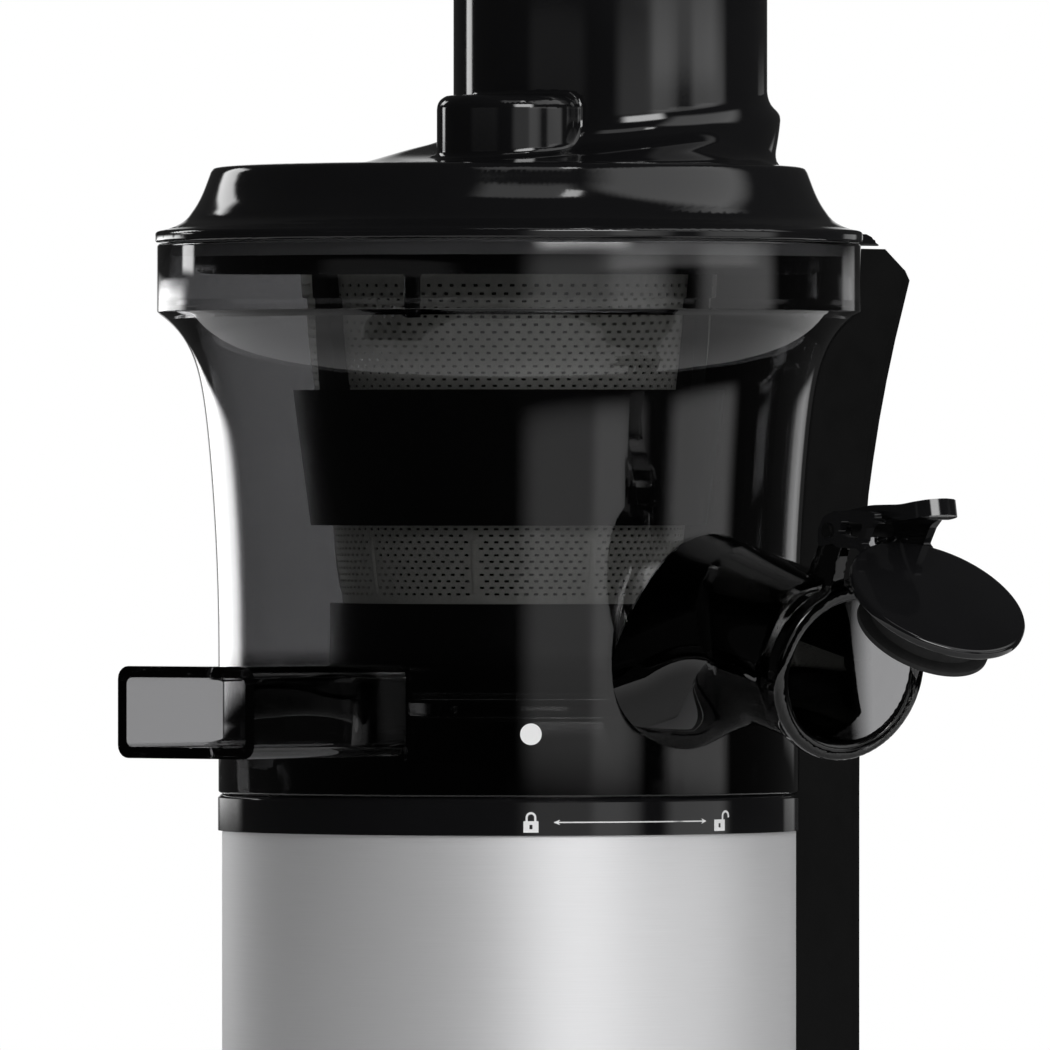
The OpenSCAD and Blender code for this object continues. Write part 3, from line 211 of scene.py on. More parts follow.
def rubber(name, colour):
    g = Surface(name)
    v = g.coords()
    dark = tuple(c * 0.7 for c in colour)
    g.feed(Base_Color=g.ramp(g.noise(v, 60, 5), [(0.3, dark), (0.75, colour)]),
           Roughness=g.spread(g.noise(v, 400, 4), 0.62, 0.85))
    g.set(Specular_IOR_Level=0.35)
    g.bump(g.noise(v, 3000, 3), 0.35, 0.0001)
    return g.mat


def glass(name, colour, dark, shade, shine, gloss=None):
    """Clear tinted plastic: a wall tints what passes, and takes the dark colour, a painted shade,
    where shade is 1.
    """
    rough = 0.015
    g = Surface(name)
    v = g.coords()
    light = tuple(min(1, c * 1.06) for c in colour)
    tint = g.ramp(g.noise(v, 12, 2), [(0.35, colour), (0.7, light)])
    g.feed(Base_Color=g.mix(shade(g, v), tint, dark),
           Roughness=g.spread(g.noise(v, 90, 3), rough * 0.6, rough * 1.6))
    g.set(Transmission_Weight=1.0, IOR=1.49, Specular_IOR_Level=shine)
    if gloss:
        g.feed(Specular_IOR_Level=gloss(g, v))
    clear = g.node("ShaderNodeBsdfTransparent")
    clear.inputs["Color"].default_value = (*(c ** 0.5 for c in colour), 1)
    mix = g.node("ShaderNodeMixShader")
    g.link(g.node("ShaderNodeLightPath").outputs["Is Shadow Ray"], mix.inputs["Fac"])
    g.link(g.bsdf.outputs["BSDF"], mix.inputs[1])
    g.link(clear.outputs["BSDF"], mix.inputs[2])
    g.show(mix.outputs["Shader"])
    return g.mat


def behind(g, v, way, start, depth, lo=0, hi=1):
    """From lo to hi over a depth in mm along one direction."""
    return g.spread(g.dot(v, way), lo, hi, start * MM, (start + depth) * MM)


def bowl_painted_shade(g, v):
    """Painted shade: the bowl is darkened below about 199 mm and in its pulp chute, but not in the
    chute's far side wall.
    """
    past_wall = g.fold("MAXIMUM", behind(g, v, way=(0, 1, 0), start=-64, depth=3),
                       behind(g, v, way=(1, 0, 0), start=-16.5, depth=3))
    return g.fold("MINIMUM", past_wall, behind(g, v, way=(0, 0, -1), start=-199, depth=5))


BOWL_SHINE = 0.3


def bowl_gloss(g, v):
    """Full shine on the bowl's wall, little on its foot and little on the flare and the collar."""
    up = (0, 0, 1)
    return g.fold("MINIMUM", behind(g, v, up, start=188, depth=14, lo=0.08, hi=BOWL_SHINE),
                  behind(g, v, up, start=256, depth=24, lo=BOWL_SHINE, hi=0.04))


def spout_painted_shade(g, v):
    """Painted shade: the spout is darkened almost to black up to the far side of its mouth, measured
    along the camera's right.
    """
    return behind(g, v, way=-right, start=-84, depth=5)


MAT = {
    "gloss_black": plastic("gloss_black", (0.006, 0.006, 0.0065), 0.07, 0.5, 0.02, 900),
    "satin_black": plastic("satin_black", (0.004, 0.004, 0.004), 0.55, 0.08, 0.25),
    "strainer_black": plastic("strainer_black", (0.004, 0.004, 0.004), 0.35, 0.2, 0.1),
    # The dark second colours of the bowl and the spout are painted shade, laid on where their shade
    # masks give 1.
    "smoky_clear": glass("smoky_clear", (0.26, 0.26, 0.265), (0.07, 0.07, 0.071),
                         bowl_painted_shade, BOWL_SHINE, bowl_gloss),
    "smoky_spout": glass("smoky_spout", (0.3, 0.3, 0.305), (0.004, 0.004, 0.004),
                         spout_painted_shade, 0.1),
    "mesh_steel": metal("mesh_steel", (0.72, 0.72, 0.66), 0.4, (1, 1, 0.2), 500, metallic=0.3),
    "sleeve": metal("sleeve", (0.76, 0.76, 0.77), 0.56, (0.5, 0.5, 60), 120, 0.02,
                    aniso=0.3, turn=0.25, metallic=0.68, swing=0.3),
    "rubber_black": rubber("rubber_black", (0.022, 0.022, 0.022)),
    "silicone_grey": rubber("silicone_grey", (0.32, 0.32, 0.32)),
    "steel": metal("steel", (0.6, 0.6, 0.61), 0.24, (1, 1, 12), 220),
    "motor_grey": metal("motor_grey", (0.28, 0.29, 0.31), 0.45, (1, 1, 4), 120, 0.15),
    "gear_plastic": plastic("gear_plastic", (0.66, 0.61, 0.49), 0.4, 0.4, 0.1),
    "cast_alloy": metal("cast_alloy", (0.42, 0.43, 0.45), 0.5, (1, 1, 1), 700, 0.5),
    "copper": metal("copper", (0.75, 0.34, 0.14), 0.3, (1, 1, 30), 300, 0.4),
    "fan_plastic": plastic("fan_plastic", (0.05, 0.05, 0.055), 0.4, 0.4, 0.15),
    "board_green": plastic("board_green", (0.015, 0.13, 0.05), 0.25, 0.5, 0.3, 900),
    "magnet": metal("magnet", (0.6, 0.6, 0.62), 0.15),
    "print_white": plastic("print_white", (0.86, 0.86, 0.86), 0.4, 0.3, 0.05),
}
SLOT_MAT = {"brushed_sleeve": "sleeve", "strainer_plastic": "strainer_black"}
node_slot = {s["node"]: s["material_slot"] for s in frame["record"]["subparts"]}
for name, obj in frame["nodes"].items():
    slot = node_slot[name]
    obj.data.materials.clear()
    obj.data.materials.append(MAT[SLOT_MAT.get(slot, slot)])


# ---------------------------------------------------------------- mesh helpers

def loose(name, verts, faces, weld=True):
    """A mesh object from millimetres; welding also turns its faces outwards."""
    mesh = bpy.data.meshes.new(name)
    mesh.from_pydata((np.asarray(verts, float) * MM).tolist(), [],
                     [tuple(map(int, f)) for f in faces])
    if weld:
        bm = bmesh.new()
        bm.from_mesh(mesh)
        bmesh.ops.remove_doubles(bm, verts=bm.verts, dist=1e-7)
        bmesh.ops.recalc_face_normals(bm, faces=bm.faces)
        bm.to_mesh(mesh)
        bm.free()
    obj = bpy.data.objects.new(name, mesh)
    bpy.context.scene.collection.objects.link(obj)
    return obj


def piece(name, verts, faces, material, body, replaces=(), sharp=35, normals=None):
    """A closed mesh in millimetres becomes a piece that rides on a body."""
    obj = loose(name, verts, faces, weld=normals is None)
    dress(obj, material, body, replaces, sharp, normals)


def dress(obj, material, body, replaces=(), sharp=35, normals=None):
    """Gives a mesh its material, smooth shading and place in the frame."""
    mesh = obj.data
    mesh.materials.clear()
    mesh.materials.append(MAT[material])
    mesh.polygons.foreach_set("use_smooth", [True] * len(mesh.polygons))
    if normals is None:
        mesh.set_sharp_from_angle(angle=math.radians(sharp))
    else:
        mesh.normals_split_custom_set_from_vertices(normals)
    mesh.update()
    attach(obj, body)
    if replaces:
        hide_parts(*replaces)


def combine(base, others, operation):
    """An exact boolean with each of the others, which it uses up."""
    for other in others:
        m = base.modifiers.new("cut", "BOOLEAN")
        m.operation, m.solver, m.object = operation, "EXACT", other
    evaluated = base.evaluated_get(bpy.context.evaluated_depsgraph_get())
    mesh = bpy.data.meshes.new_from_object(evaluated)
    base.modifiers.clear()
    base.data = mesh
    for other in others:
        bpy.data.objects.remove(other)


def revolve(profile, steps=160):
    """Turns a closed (r, z) profile about Z."""
    profile = np.asarray(profile, float)
    n = len(profile)
    turn = np.arange(steps) * 2 * math.pi / steps
    verts = np.stack([np.outer(np.cos(turn), profile[:, 0]), np.outer(np.sin(turn), profile[:, 0]),
                      np.tile(profile[:, 1], (steps, 1))], -1).reshape(-1, 3)
    faces = []
    for i in range(steps):
        a, b = i * n, (i + 1) % steps * n
        faces += [(a + j, b + j, b + (j + 1) % n, a + (j + 1) % n) for j in range(n)]
    return verts, faces


def rounded(points, radii, steps=5):
    """A closed polygon with an arc at each corner that has a radius."""
    out = []
    count = len(points)
    for i in range(count):
        p, a, b = (np.array(points[k], float) for k in (i, i - 1, (i + 1) % count))
        radius = radii[i] if hasattr(radii, "__len__") else radii
        u, v = a - p, b - p
        lu, lv = np.linalg.norm(u), np.linalg.norm(v)
        if radius <= 0 or lu < 1e-9 or lv < 1e-9:
            out.append(p)
            continue
        u, v = u / lu, v / lv
        half = math.acos(max(-1, min(1, float(u @ v)))) / 2
        if half > 1.53 or half < 0.02:  # straight on, or folded back
            out.append(p)
            continue
        d = min(radius / math.tan(half), 0.48 * min(lu, lv))
        r = d * math.tan(half)
        centre = p + (u + v) / np.linalg.norm(u + v) * r / math.sin(half)
        a0 = math.atan2(*(p + u * d - centre)[::-1])
        a1 = math.atan2(*(p + v * d - centre)[::-1])
        da = (a1 - a0 + math.pi) % (2 * math.pi) - math.pi
        out += [centre + r * np.array([math.cos(a0 + da * k / steps), math.sin(a0 + da * k / steps)])
                for k in range(steps + 1)]
    return np.array(out)


def smooth_line(points, steps=6):
    """Catmull-Rom curve through open points."""
    p = np.asarray(points, float)
    p = np.vstack([2 * p[0] - p[1], p, 2 * p[-1] - p[-2]])
    t = np.arange(steps)[:, None] / steps
    out = [0.5 * (2 * b + (c - a) * t + (2 * a - 5 * b + 4 * c - d) * t ** 2
                  + (3 * b - a - 3 * c + d) * t ** 3)
           for a, b, c, d in zip(p, p[1:], p[2:], p[3:])]
    return np.vstack(out + [p[-2:-1]])


def prism_faces(n):
    """The ends and the sides of a prism whose points are two rings of n."""
    ends = [tuple(range(n)), tuple(range(2 * n - 1, n - 1, -1))]
    return ends + [(i, (i + 1) % n, n + (i + 1) % n, n + i) for i in range(n)]


def prism(outline, depth, place):
    """A closed outline in the XZ plane, pushed along Y both ways and put in place."""
    verts = [(x, side * depth / 2, z) for side in (-1, 1) for x, z in outline]
    return moved(verts, place), prism_faces(len(outline))


def moved(verts, place):
    """Points put in place by a 4 x 4 matrix."""
    v = np.asarray(verts, float)
    m = np.array(place)
    return v @ m[:3, :3].T + m[:3, 3]


def smin(a, b, k):
    """The lower of two distances, blended where they differ by less than k."""
    h = np.maximum(k - np.abs(a - b), 0) / k
    return np.minimum(a, b) - h * h * k / 4


def smax(a, b, k):
    return -smin(-a, -b, k)


class Outline:
    """Signed distance to a closed polygon, read from a fine grid."""

    def __init__(self, points, pad=25.0, step=0.25):
        p = np.asarray(points, float)
        self.lo, self.step = p.min(0) - pad, step
        size = np.ceil((p.max(0) + pad - self.lo) / step).astype(int) + 1
        x, y = np.meshgrid(*(self.lo[k] + np.arange(size[k]) * step for k in (0, 1)), indexing="ij")
        best = np.full(x.shape, 1e9)
        inside = np.zeros(x.shape, bool)
        for a, b in zip(p, np.roll(p, -1, 0)):
            e = b - a
            length = float(e @ e)
            if length < 1e-12:
                continue
            t = np.clip(((x - a[0]) * e[0] + (y - a[1]) * e[1]) / length, 0, 1)
            best = np.minimum(best, (x - a[0] - t * e[0]) ** 2 + (y - a[1] - t * e[1]) ** 2)
            if a[1] != b[1]:
                hit = ((y < a[1]) != (y < b[1])) & (x < a[0] + (y - a[1]) * e[0] / e[1])
                inside ^= hit
        self.field = np.where(inside, -1, 1) * np.sqrt(best)

    def __call__(self, x, y):
        f = self.field
        u = np.clip((x - self.lo[0]) / self.step, 0, f.shape[0] - 1.001)
        v = np.clip((y - self.lo[1]) / self.step, 0, f.shape[1] - 1.001)
        i, j = u.astype(int), v.astype(int)
        u, v = u - i, v - j
        return ((f[i, j] * (1 - u) + f[i + 1, j] * u) * (1 - v)
                + (f[i, j + 1] * (1 - u) + f[i + 1, j + 1] * u) * v)


def skin(solid, lo, hi, step):
    """Quads on the zero surface of a signed distance, with its own normals."""
    axes = [np.arange(a, b + step, step) for a, b in zip(lo, hi)]
    x, y, z = np.meshgrid(*axes, indexing="ij")
    f = solid(x, y, z)
    inside = f < 0
    corners = [(i, j, k) for i in (0, 1) for j in (0, 1) for k in (0, 1)]
    nx, ny, nz = f.shape
    total = sum(inside[i:nx - 1 + i, j:ny - 1 + j, k:nz - 1 + k].astype(np.int8)
                for i, j, k in corners)
    mixed = (total > 0) & (total < 8)
    index = np.full(mixed.shape, -1)
    cells = np.argwhere(mixed)
    index[mixed] = np.arange(len(cells))
    place, hits = np.zeros((len(cells), 3)), np.zeros(len(cells))
    for a in corners:
        for axis in range(3):
            if a[axis]:
                continue
            b = tuple(1 if k == axis else a[k] for k in range(3))
            fa, fb = f[tuple((cells + a).T)], f[tuple((cells + b).T)]
            cross = (fa < 0) != (fb < 0)
            t = np.where(cross, fa / np.where(cross, fa - fb, 1), 0)
            point = np.array(a, float) + t[:, None] * (np.array(b) - np.array(a))
            place += np.where(cross[:, None], point, 0)
            hits += cross
    verts = np.array(lo) + (cells + place / hits[:, None]) * step
    faces = []
    for axis in range(3):
        first = np.take(inside, range(0, f.shape[axis] - 1), axis)
        second = np.take(inside, range(1, f.shape[axis]), axis)
        edge = np.argwhere(first != second)
        others = [k for k in range(3) if k != axis]
        for k in others:
            edge = edge[(edge[:, k] > 0) & (edge[:, k] < f.shape[k] - 1)]
        ring = []
        for da, db in ((-1, -1), (0, -1), (0, 0), (-1, 0)):
            cell = edge.copy()
            cell[:, others[0]] += da
            cell[:, others[1]] += db
            ring.append(index[tuple(cell.T)])
        quad = np.stack(ring, 1)
        flip = first[tuple(edge.T)] ^ (axis == 1)
        quad[~flip] = quad[~flip][:, ::-1]
        faces.append(quad)
    faces = np.vstack(faces)

    def slope(v):
        e = 0.05
        return np.stack([(solid(*(v + d).T) - solid(*(v - d).T)) / (2 * e)
                         for d in np.eye(3) * e], 1)

    for _ in range(3):
        g = slope(verts)
        move = np.clip(solid(*verts.T), -step / 2, step / 2) / np.maximum((g * g).sum(1), 0.2)
        verts = verts - move[:, None] * g
    g = slope(verts)
    return verts, faces, g / np.linalg.norm(g, axis=1)[:, None]


# ---------------------------------------------------------------- bowl, pulp chute, juice spout

BOWL_R, WALL, FLARE_R, COLLAR_R = 68.4, 2.6, 82.1, 82.8
FLARE_Z, COLLAR_Z, FLOOR_Z = 196.8, 278.1, 187.0
FLARE_TOP = COLLAR_Z - 0.7
WELL_Z, WELL_R, WELL_WALL = 174.2, 42.4, 2.4
HUB_R, HUB_IN, HUB_TALL = 12.5, 9.2, 18
CHUTE_MID = 185.2


def flare(z):
    """The bowl's outer radius at a height below its collar."""
    t = np.clip((z - FLARE_Z) / (FLARE_TOP - FLARE_Z), 0, 1)
    return BOWL_R + (FLARE_R - BOWL_R) * (0.43 * t ** 2 + 0.57 * t ** 13)


def chute_block(name, width, height, radius, start, end):
    low = CHUTE_MID - height / 2
    corners = [(-width / 2, low), (width / 2, low),
               (width / 2, low + height), (-width / 2, low + height)]
    outline = rounded(corners, radius)
    verts = [(x, -y, z) for y in (start, end) for x, z in outline]
    return loose(name, verts, prism_faces(len(outline)))


SPOUT_TURN, SPOUT_TILT = math.radians(71.8), math.radians(12.5)
SPOUT_BORE = 16.5
PIN_U, PIN_W = -3.0, 33.0  # the cap's hinge pin, along the spout's axis and above it
run_dir = Vector((math.sin(SPOUT_TURN), -math.cos(SPOUT_TURN), 0))
side_dir = Vector((math.cos(SPOUT_TURN), math.sin(SPOUT_TURN), 0))
mouth = side_dir * 10.6 + run_dir * 124.0 + Vector((0, 0, DECK + 29.2))
axis_u = run_dir * math.cos(SPOUT_TILT) - Vector((0, 0, math.sin(SPOUT_TILT)))
axis_v = Vector((-run_dir.y, run_dir.x, 0))
axis_w = axis_u.cross(axis_v)
AT_SPOUT = Matrix.Translation(mouth) @ Matrix((axis_u, axis_v, axis_w)).transposed().to_4x4()
TURN_X = Matrix.Rotation(math.radians(90), 4, "Y")


def bowl_profile():
    """The closed (r, z) line round the bowl's wall, collar, floor, well and hub, with its radii."""
    count = 31
    t = 1 - (1 - np.arange(count) / (count - 1)) ** 1.7
    z = FLARE_Z + (FLARE_TOP - FLARE_Z) * t
    wall = np.stack([flare(z), z], 1)
    inner = wall[::-1] - (WALL, 0)
    bowl_in, collar_in, well_out = BOWL_R - WALL, COLLAR_R - WALL, WELL_R + WELL_WALL
    foot_z, under_z = DECK + 0.1, FLOOR_Z - 3
    head = [(BOWL_R, foot_z)] + wall.tolist()
    head += [(COLLAR_R, COLLAR_Z), (COLLAR_R, RIM), (collar_in, RIM), (collar_in, COLLAR_Z + WALL)]
    head += inner.tolist()
    foot = [(bowl_in, FLOOR_Z), (WELL_R, FLOOR_Z), (WELL_R, WELL_Z + WELL_WALL),
            (HUB_R, WELL_Z + WELL_WALL), (HUB_R, WELL_Z + HUB_TALL), (HUB_IN, WELL_Z + HUB_TALL),
            (HUB_IN, WELL_Z), (well_out, WELL_Z), (well_out, under_z), (bowl_in, under_z),
            (bowl_in, foot_z)]
    radii = [0.6] + [0] * count + [0.5, 0.8, 0.6, 1.2] + [0] * count
    radii += [2.5, 1, 1.5, 1.5, 0.5, 0.5, 0.8, 1, 1.5, 1.5, 0.3]
    return rounded(head + foot, radii)


def bayonet_lug(start):
    """One of the lugs under the bowl, 38 degrees long."""
    arc = np.radians(start + np.linspace(0, 38, 12))
    ring = [(r * math.sin(a), -r * math.cos(a))
            for r, way in ((60, arc), (66.3, arc[::-1])) for a in way]
    verts = [(x, y, z) for z in (DECK + 0.8, DECK + 4.2) for x, y in ring]
    return loose("lug", verts, prism_faces(len(ring)))


def make_bowl():
    bowl = loose("bowl_clear", *revolve(bowl_profile(), 192))
    outer = chute_block("chute_outer", 40, 21.2, 3, 43.6, 122)
    combine(bowl, [outer] + [bayonet_lug(37 + 120 * k) for k in range(3)], "UNION")
    verts, faces = revolve([(0, -95), (SPOUT_BORE, -95), (SPOUT_BORE, -43), (0, -43)], 128)
    bore = loose("bore", moved(verts, AT_SPOUT @ TURN_X), faces)
    combine(bowl, [chute_block("chute_inner", 34.8, 16, 1.6, 40, 130), bore], "DIFFERENCE")
    dress(bowl, "smoky_clear", "bowl", ("bowl", "pulp_chute"), sharp=32)


def make_spout():
    """One skin: tube with lip, root cone and hinge ears, bored and cut along the bowl's wall."""
    back = np.array(AT_SPOUT.inverted())
    lip = Outline(rounded([(0, -140), (19.05, -140), (19.05, -9.5), (20.8, -4), (20.8, 0), (0, 0)],
                          [0, 0, 12, 1.5, 1.3, 0]), 45, 0.3)
    ear = Outline(rounded([(-13.8, 15), (-2, 15), (0.8, 33), (-3, 36.6), (-6.8, 33)],
                          [0, 4, 3.5, 4, 3.5]), 12, 0.15)
    ear_mid, ear_half, pin_hole = 6.5, 1.5, 1.65
    inward, aside, drop = 66, 8.5, 15
    root = mouth - run_dir * inward - side_dir * aside
    root += Vector((0, 0, inward * math.tan(SPOUT_TILT) - drop))
    rise, yaw = math.atan(0.5 - math.tan(SPOUT_TILT)), math.atan(aside / 30)
    level = run_dir * math.cos(yaw) + side_dir * math.sin(yaw)
    root_axis = np.array(level * math.cos(rise) + Vector((0, 0, math.sin(rise))))
    root_r, root_taper, root_end = 20.5, 0.123, 27

    def solid(x, y, z):
        u, v, w = (row[0] * x + row[1] * y + row[2] * z + row[3] for row in back[:3])
        r = np.hypot(v, w)
        px, py, pz = x - root.x, y - root.y, z - root.z
        along = px * root_axis[0] + py * root_axis[1] + pz * root_axis[2]
        across = np.sqrt(np.maximum(px * px + py * py + pz * pz - along * along, 0))
        cone = np.maximum((across - root_r + along * root_taper) * 0.99, along - root_end)
        out = smin(lip(r, u), cone, 7)
        out = smin(out, np.maximum(ear(u, w), np.abs(np.abs(v) - ear_mid) - ear_half), 2.5)
        flared_bore = r - SPOUT_BORE - np.exp(np.minimum(u, 1) / 1.3)
        out = smax(out, -flared_bore, 1.3)
        out = np.maximum(out, pin_hole - np.hypot(u - PIN_U, w - PIN_W))
        return np.maximum(out, flare(z) - WALL / 2 - np.hypot(x, y))

    verts, faces, normals = skin(solid, (56, -64, 160), (127, 10, 240), 0.7)
    piece("juice_spout_clear", verts, faces, "smoky_spout", "bowl",
          ("juice_spout",), normals=normals)


make_bowl()
make_spout()


# ---------------------------------------------------------------- lid with its boss, feed chute

FEED_Y, FEED_R, FEED_IN, FEED_TOP = 39.5, 37.2, 34.2, 425.0
CHUTE_CUT = 331.0  # where the lid's moulding ends and the plain feed tube begins
LID_R, LID_RISE = 83.2, 18.4


def lid_outlines():
    """Signed outlines of the lid: its shell, the hollow under it, the boss and the sensor's tab."""
    shoulder = [(r * LID_R, RIM + s * LID_RISE) for r, s in (
        (0.954, 0.201), (0.917, 0.293), (0.897, 0.402), (0.879, 0.527), (0.864, 0.668),
        (0.851, 0.821), (0.841, 0.929), (0.827, 0.972), (0.784, 0.992))]
    edge = [(0, RIM + 0.2), (LID_R, RIM + 0.2), (LID_R, RIM + 2.8)]
    edge += smooth_line(shoulder, 4).tolist() + [(0, LID_TOP)]
    shell = Outline(rounded(edge, [0, 0.7, 0.9] + [0] * (len(edge) - 3)), 14, 0.2)
    ceiling = LID_TOP - 2.7
    hollow = Outline([(0, RIM - 10), (71.3, RIM - 10), (71.3, RIM + 6.1), (68.1, ceiling),
                      (0, ceiling)], 14, 0.2)
    boss = Outline(rounded([(0, 304.5), (17, 304.5), (17, 329), (0, 329.2)],
                           [0, 0.5, 3.2, 0]), 14, 0.2)
    tab = Outline(rounded([(74, RIM + 0.3), (99.7, RIM + 0.3), (99.7, RIM + 0.7),
                           (95.8, RIM + 3.1), (74, RIM + 3.1)], [0, 0.3, 0.4, 1.5, 0]), 14, 0.15)
    return shell, hollow, boss, tab


def make_lid():
    """One skin: shell with spigot, ramped mound, feed chute's root, boss, sensor tab and hook."""
    shell, hollow, boss, tab = lid_outlines()
    spigot_r, spigot_foot = 74, RIM - 8.2
    slope = math.radians(8)
    lean, upright = math.tan(slope), math.cos(slope)
    ramp_y, ramp_shift, ramp_tall = 20, 19.5, 9.5
    ramp_r, ramp_shrink, ramp_top = 48, 9.4, 8.9
    rib_r, rib_half = 45.85, 1.35
    throat_r, throat_foot = 44.5, 300
    bush_r, bush_top = 7.05, 321
    magnet_r, magnet_y, magnet_deep = 4.05, 92, 2.35
    hook_turn, hook_r, hook_drop = math.radians(19.6), 72.3, 12.4

    def solid(x, y, z):
        r = np.hypot(x, y)
        rho = np.hypot(x, y - FEED_Y)
        spigot = np.maximum(np.maximum(r - spigot_r, z - RIM - 2), spigot_foot - z)
        body = np.minimum(shell(r, z), spigot)
        t = np.clip((z - LID_TOP) / ramp_tall, 0, 1.6)
        ramp = np.hypot(x, y - ramp_y - ramp_shift * t) - (ramp_r - ramp_shrink * t)
        top = (z - LID_TOP - ramp_top - (y - FEED_Y) * lean) * upright
        mound = np.maximum(smax(ramp * 0.55, top, 2.2), LID_TOP - 4 - z)
        body = smin(body, mound, 3.5)
        chute = np.maximum(rho - FEED_R, RIM + 4 - z)
        body = smin(body, chute, 7)
        stopper = boss(r, z)
        body = smin(body, stopper, 1.6)
        body = np.minimum(body, np.maximum(np.maximum(tab(y, z), np.abs(x) - 35), 71 - r))
        rib = np.maximum(np.abs(r - rib_r) - rib_half, RIM - 1.2 - z)
        body = np.maximum(body, -np.maximum(hollow(r, z), -np.minimum(rib, stopper)))
        throat = np.maximum(np.maximum(rho - FEED_IN, r - throat_r), throat_foot - z)
        bore = np.maximum(rho - FEED_IN, LID_TOP + 0.5 - z)
        body = np.maximum(body, -np.maximum(np.minimum(throat, bore), -stopper))
        body = np.maximum(body, -np.maximum(r - bush_r, z - bush_top))
        turn_x = x * math.cos(hook_turn) + y * math.sin(hook_turn)
        turn_y = x * math.sin(hook_turn) - y * math.cos(hook_turn)
        hook = np.maximum(np.maximum(np.abs(turn_x) - 1.75, np.abs(turn_y - hook_r) - 1),
                          np.abs(z - RIM + hook_drop) - 5.2)
        body = np.minimum(body, hook)
        magnet = np.maximum(np.hypot(x, y - magnet_y) - magnet_r, z - RIM - magnet_deep)
        body = np.maximum(body, -magnet)
        return np.maximum(body, z - CHUTE_CUT)

    verts, faces, normals = skin(solid, (-85, -85, 273), (85, 102, 333), 0.9)
    piece("lid_moulding", verts, faces, "gloss_black", "lid", ("lid",),
          normals=normals)


def make_chute():
    """The plain feed tube; it laps over the lid's moulding by 1.5 mm."""
    low, inner, outer = CHUTE_CUT - 1.5, FEED_IN - 0.03, FEED_R + 0.03
    profile = rounded([(inner, low), (outer, low), (outer, FEED_TOP), (inner, FEED_TOP)],
                      [0, 0, 0.8, 0.8])
    verts, faces = revolve(profile, 192)
    piece("feed_tube", moved(verts, Matrix.Translation((0, FEED_Y, 0))), faces,
          "gloss_black", "lid", ("feed_chute",))


make_lid()
make_chute()


# ---------------------------------------------------------------- strainer mesh

MESH_FOOT, MESH_TOP, MESH_R = 209.7, 285.7, 39.0
MESH_SLOPE = (49.2 - MESH_R) / 76.0
MESH_THICK = 0.45
BAND, BAND_TOP = 228.0, 259.8  # the moulded band covers the sheet between these heights
RIB_TURNS = [math.radians(25.9 + 40 * k) for k in range(9)]


def mesh_r(z):
    return MESH_R + (z - MESH_FOOT) * MESH_SLOPE


def make_sheet():
    """The steel cone as one sheet with staggered slots in both windows, and none at the ribs."""
    columns, rows = 108, 50
    dz = (MESH_TOP - MESH_FOOT) / rows
    cell = 2 * math.pi / columns
    slot_half_width, slot_half_z = 0.6, 0.27
    slot_ring = ((-0.8, -1), (0, -1), (0.8, -1), (1, 0), (0.8, 1), (0, 1), (-0.8, 1), (-1, 0))
    verts, faces, lookup = [], [], {}

    def vert(a, z):
        key = (round(a / cell * 4096) % (columns * 4096), round(z * 1000))
        if key not in lookup:
            r = mesh_r(z) - 0.02
            lookup[key] = len(verts)
            verts.append((r * math.sin(a), -r * math.cos(a), z))
        return lookup[key]

    for i in range(rows):
        z0, z1 = MESH_FOOT + i * dz, MESH_FOOT + (i + 1) * dz
        zm = (z0 + z1) / 2
        shown = 211 < zm < BAND - 0.6 or BAND_TOP + 0.8 < zm < MESH_TOP - 0.8
        for j in range(columns):
            a0 = (j + (i % 2) / 2) * cell
            am, a1 = a0 + cell / 2, a0 + cell
            rim = [vert(a, z) for a, z in ((a0, z0), (am, z0), (a1, z0), (a1, zm),
                                           (a1, z1), (am, z1), (a0, z1), (a0, zm))]
            near = min(abs((am - s + math.pi) % (2 * math.pi) - math.pi) for s in RIB_TURNS)
            if not shown or (zm < 226 and near < 0.7 * cell):
                faces.append(rim)
                continue
            half = slot_half_width / mesh_r(zm)
            hole = [vert(am + p * half, zm + q * slot_half_z) for p, q in slot_ring]
            faces += [[rim[k], rim[(k + 1) % 8], hole[(k + 1) % 8], hole[k]] for k in range(8)]
    n = len(verts)
    outer = np.array(verts)
    radius = np.hypot(outer[:, 0], outer[:, 1])
    inner = outer.copy()
    inner[:, :2] *= ((radius - MESH_THICK) / radius)[:, None]
    edges = dict.fromkeys((a, b) for f in faces for a, b in zip(f, f[1:] + f[:1]))
    border = [(a, b) for a, b in edges if (b, a) not in edges]
    closed = faces + [[v + n for v in reversed(f)] for f in faces]
    closed += [(b, a, a + n, b + n) for a, b in border]
    piece("strainer_sheet", np.vstack([outer, inner]), closed, "mesh_steel", "bowl",
          ("strainer_mesh",))


def make_ribs():
    """The upright ribs pressed into the sheet's lower window."""
    levels, points = 25, 7
    foot, tall = 211.6, 13.6
    verts, faces = [], []
    for turn in RIB_TURNS:
        base = len(verts)
        for step in range(levels):
            z = foot + tall * step / (levels - 1)
            swell = math.sin(math.pi * step / (levels - 1)) ** 0.35
            r = mesh_r(z)
            for k in range(points):
                q = k / (points - 1) * 2 - 1
                a = turn + q * 0.9 / r
                out = 0.7 * swell * math.sqrt(max(0, 1 - q * q)) - 0.25
                verts.append(((r + out) * math.sin(a), -(r + out) * math.cos(a), z))
        for step in range(levels - 1):
            low, high = base + step * points, base + (step + 1) * points
            faces += [(low + k, low + k + 1, high + k + 1, high + k) for k in range(points - 1)]
            faces.append((high - 1, low, high, high + points - 1))
        last = base + (levels - 1) * points
        faces += [tuple(range(end, end + points)) for end in (base, last)]
    piece("strainer_ribs", verts, faces, "mesh_steel", "bowl", sharp=60)


make_sheet()
make_ribs()


# ---------------------------------------------------------------- print on the bowl and the ring

RING_R = 68.5
MARKS_TURN = math.radians(41.7)
MARKS_Z, DOT_Z, DOT_R = 159.4, 179.8, 2.5


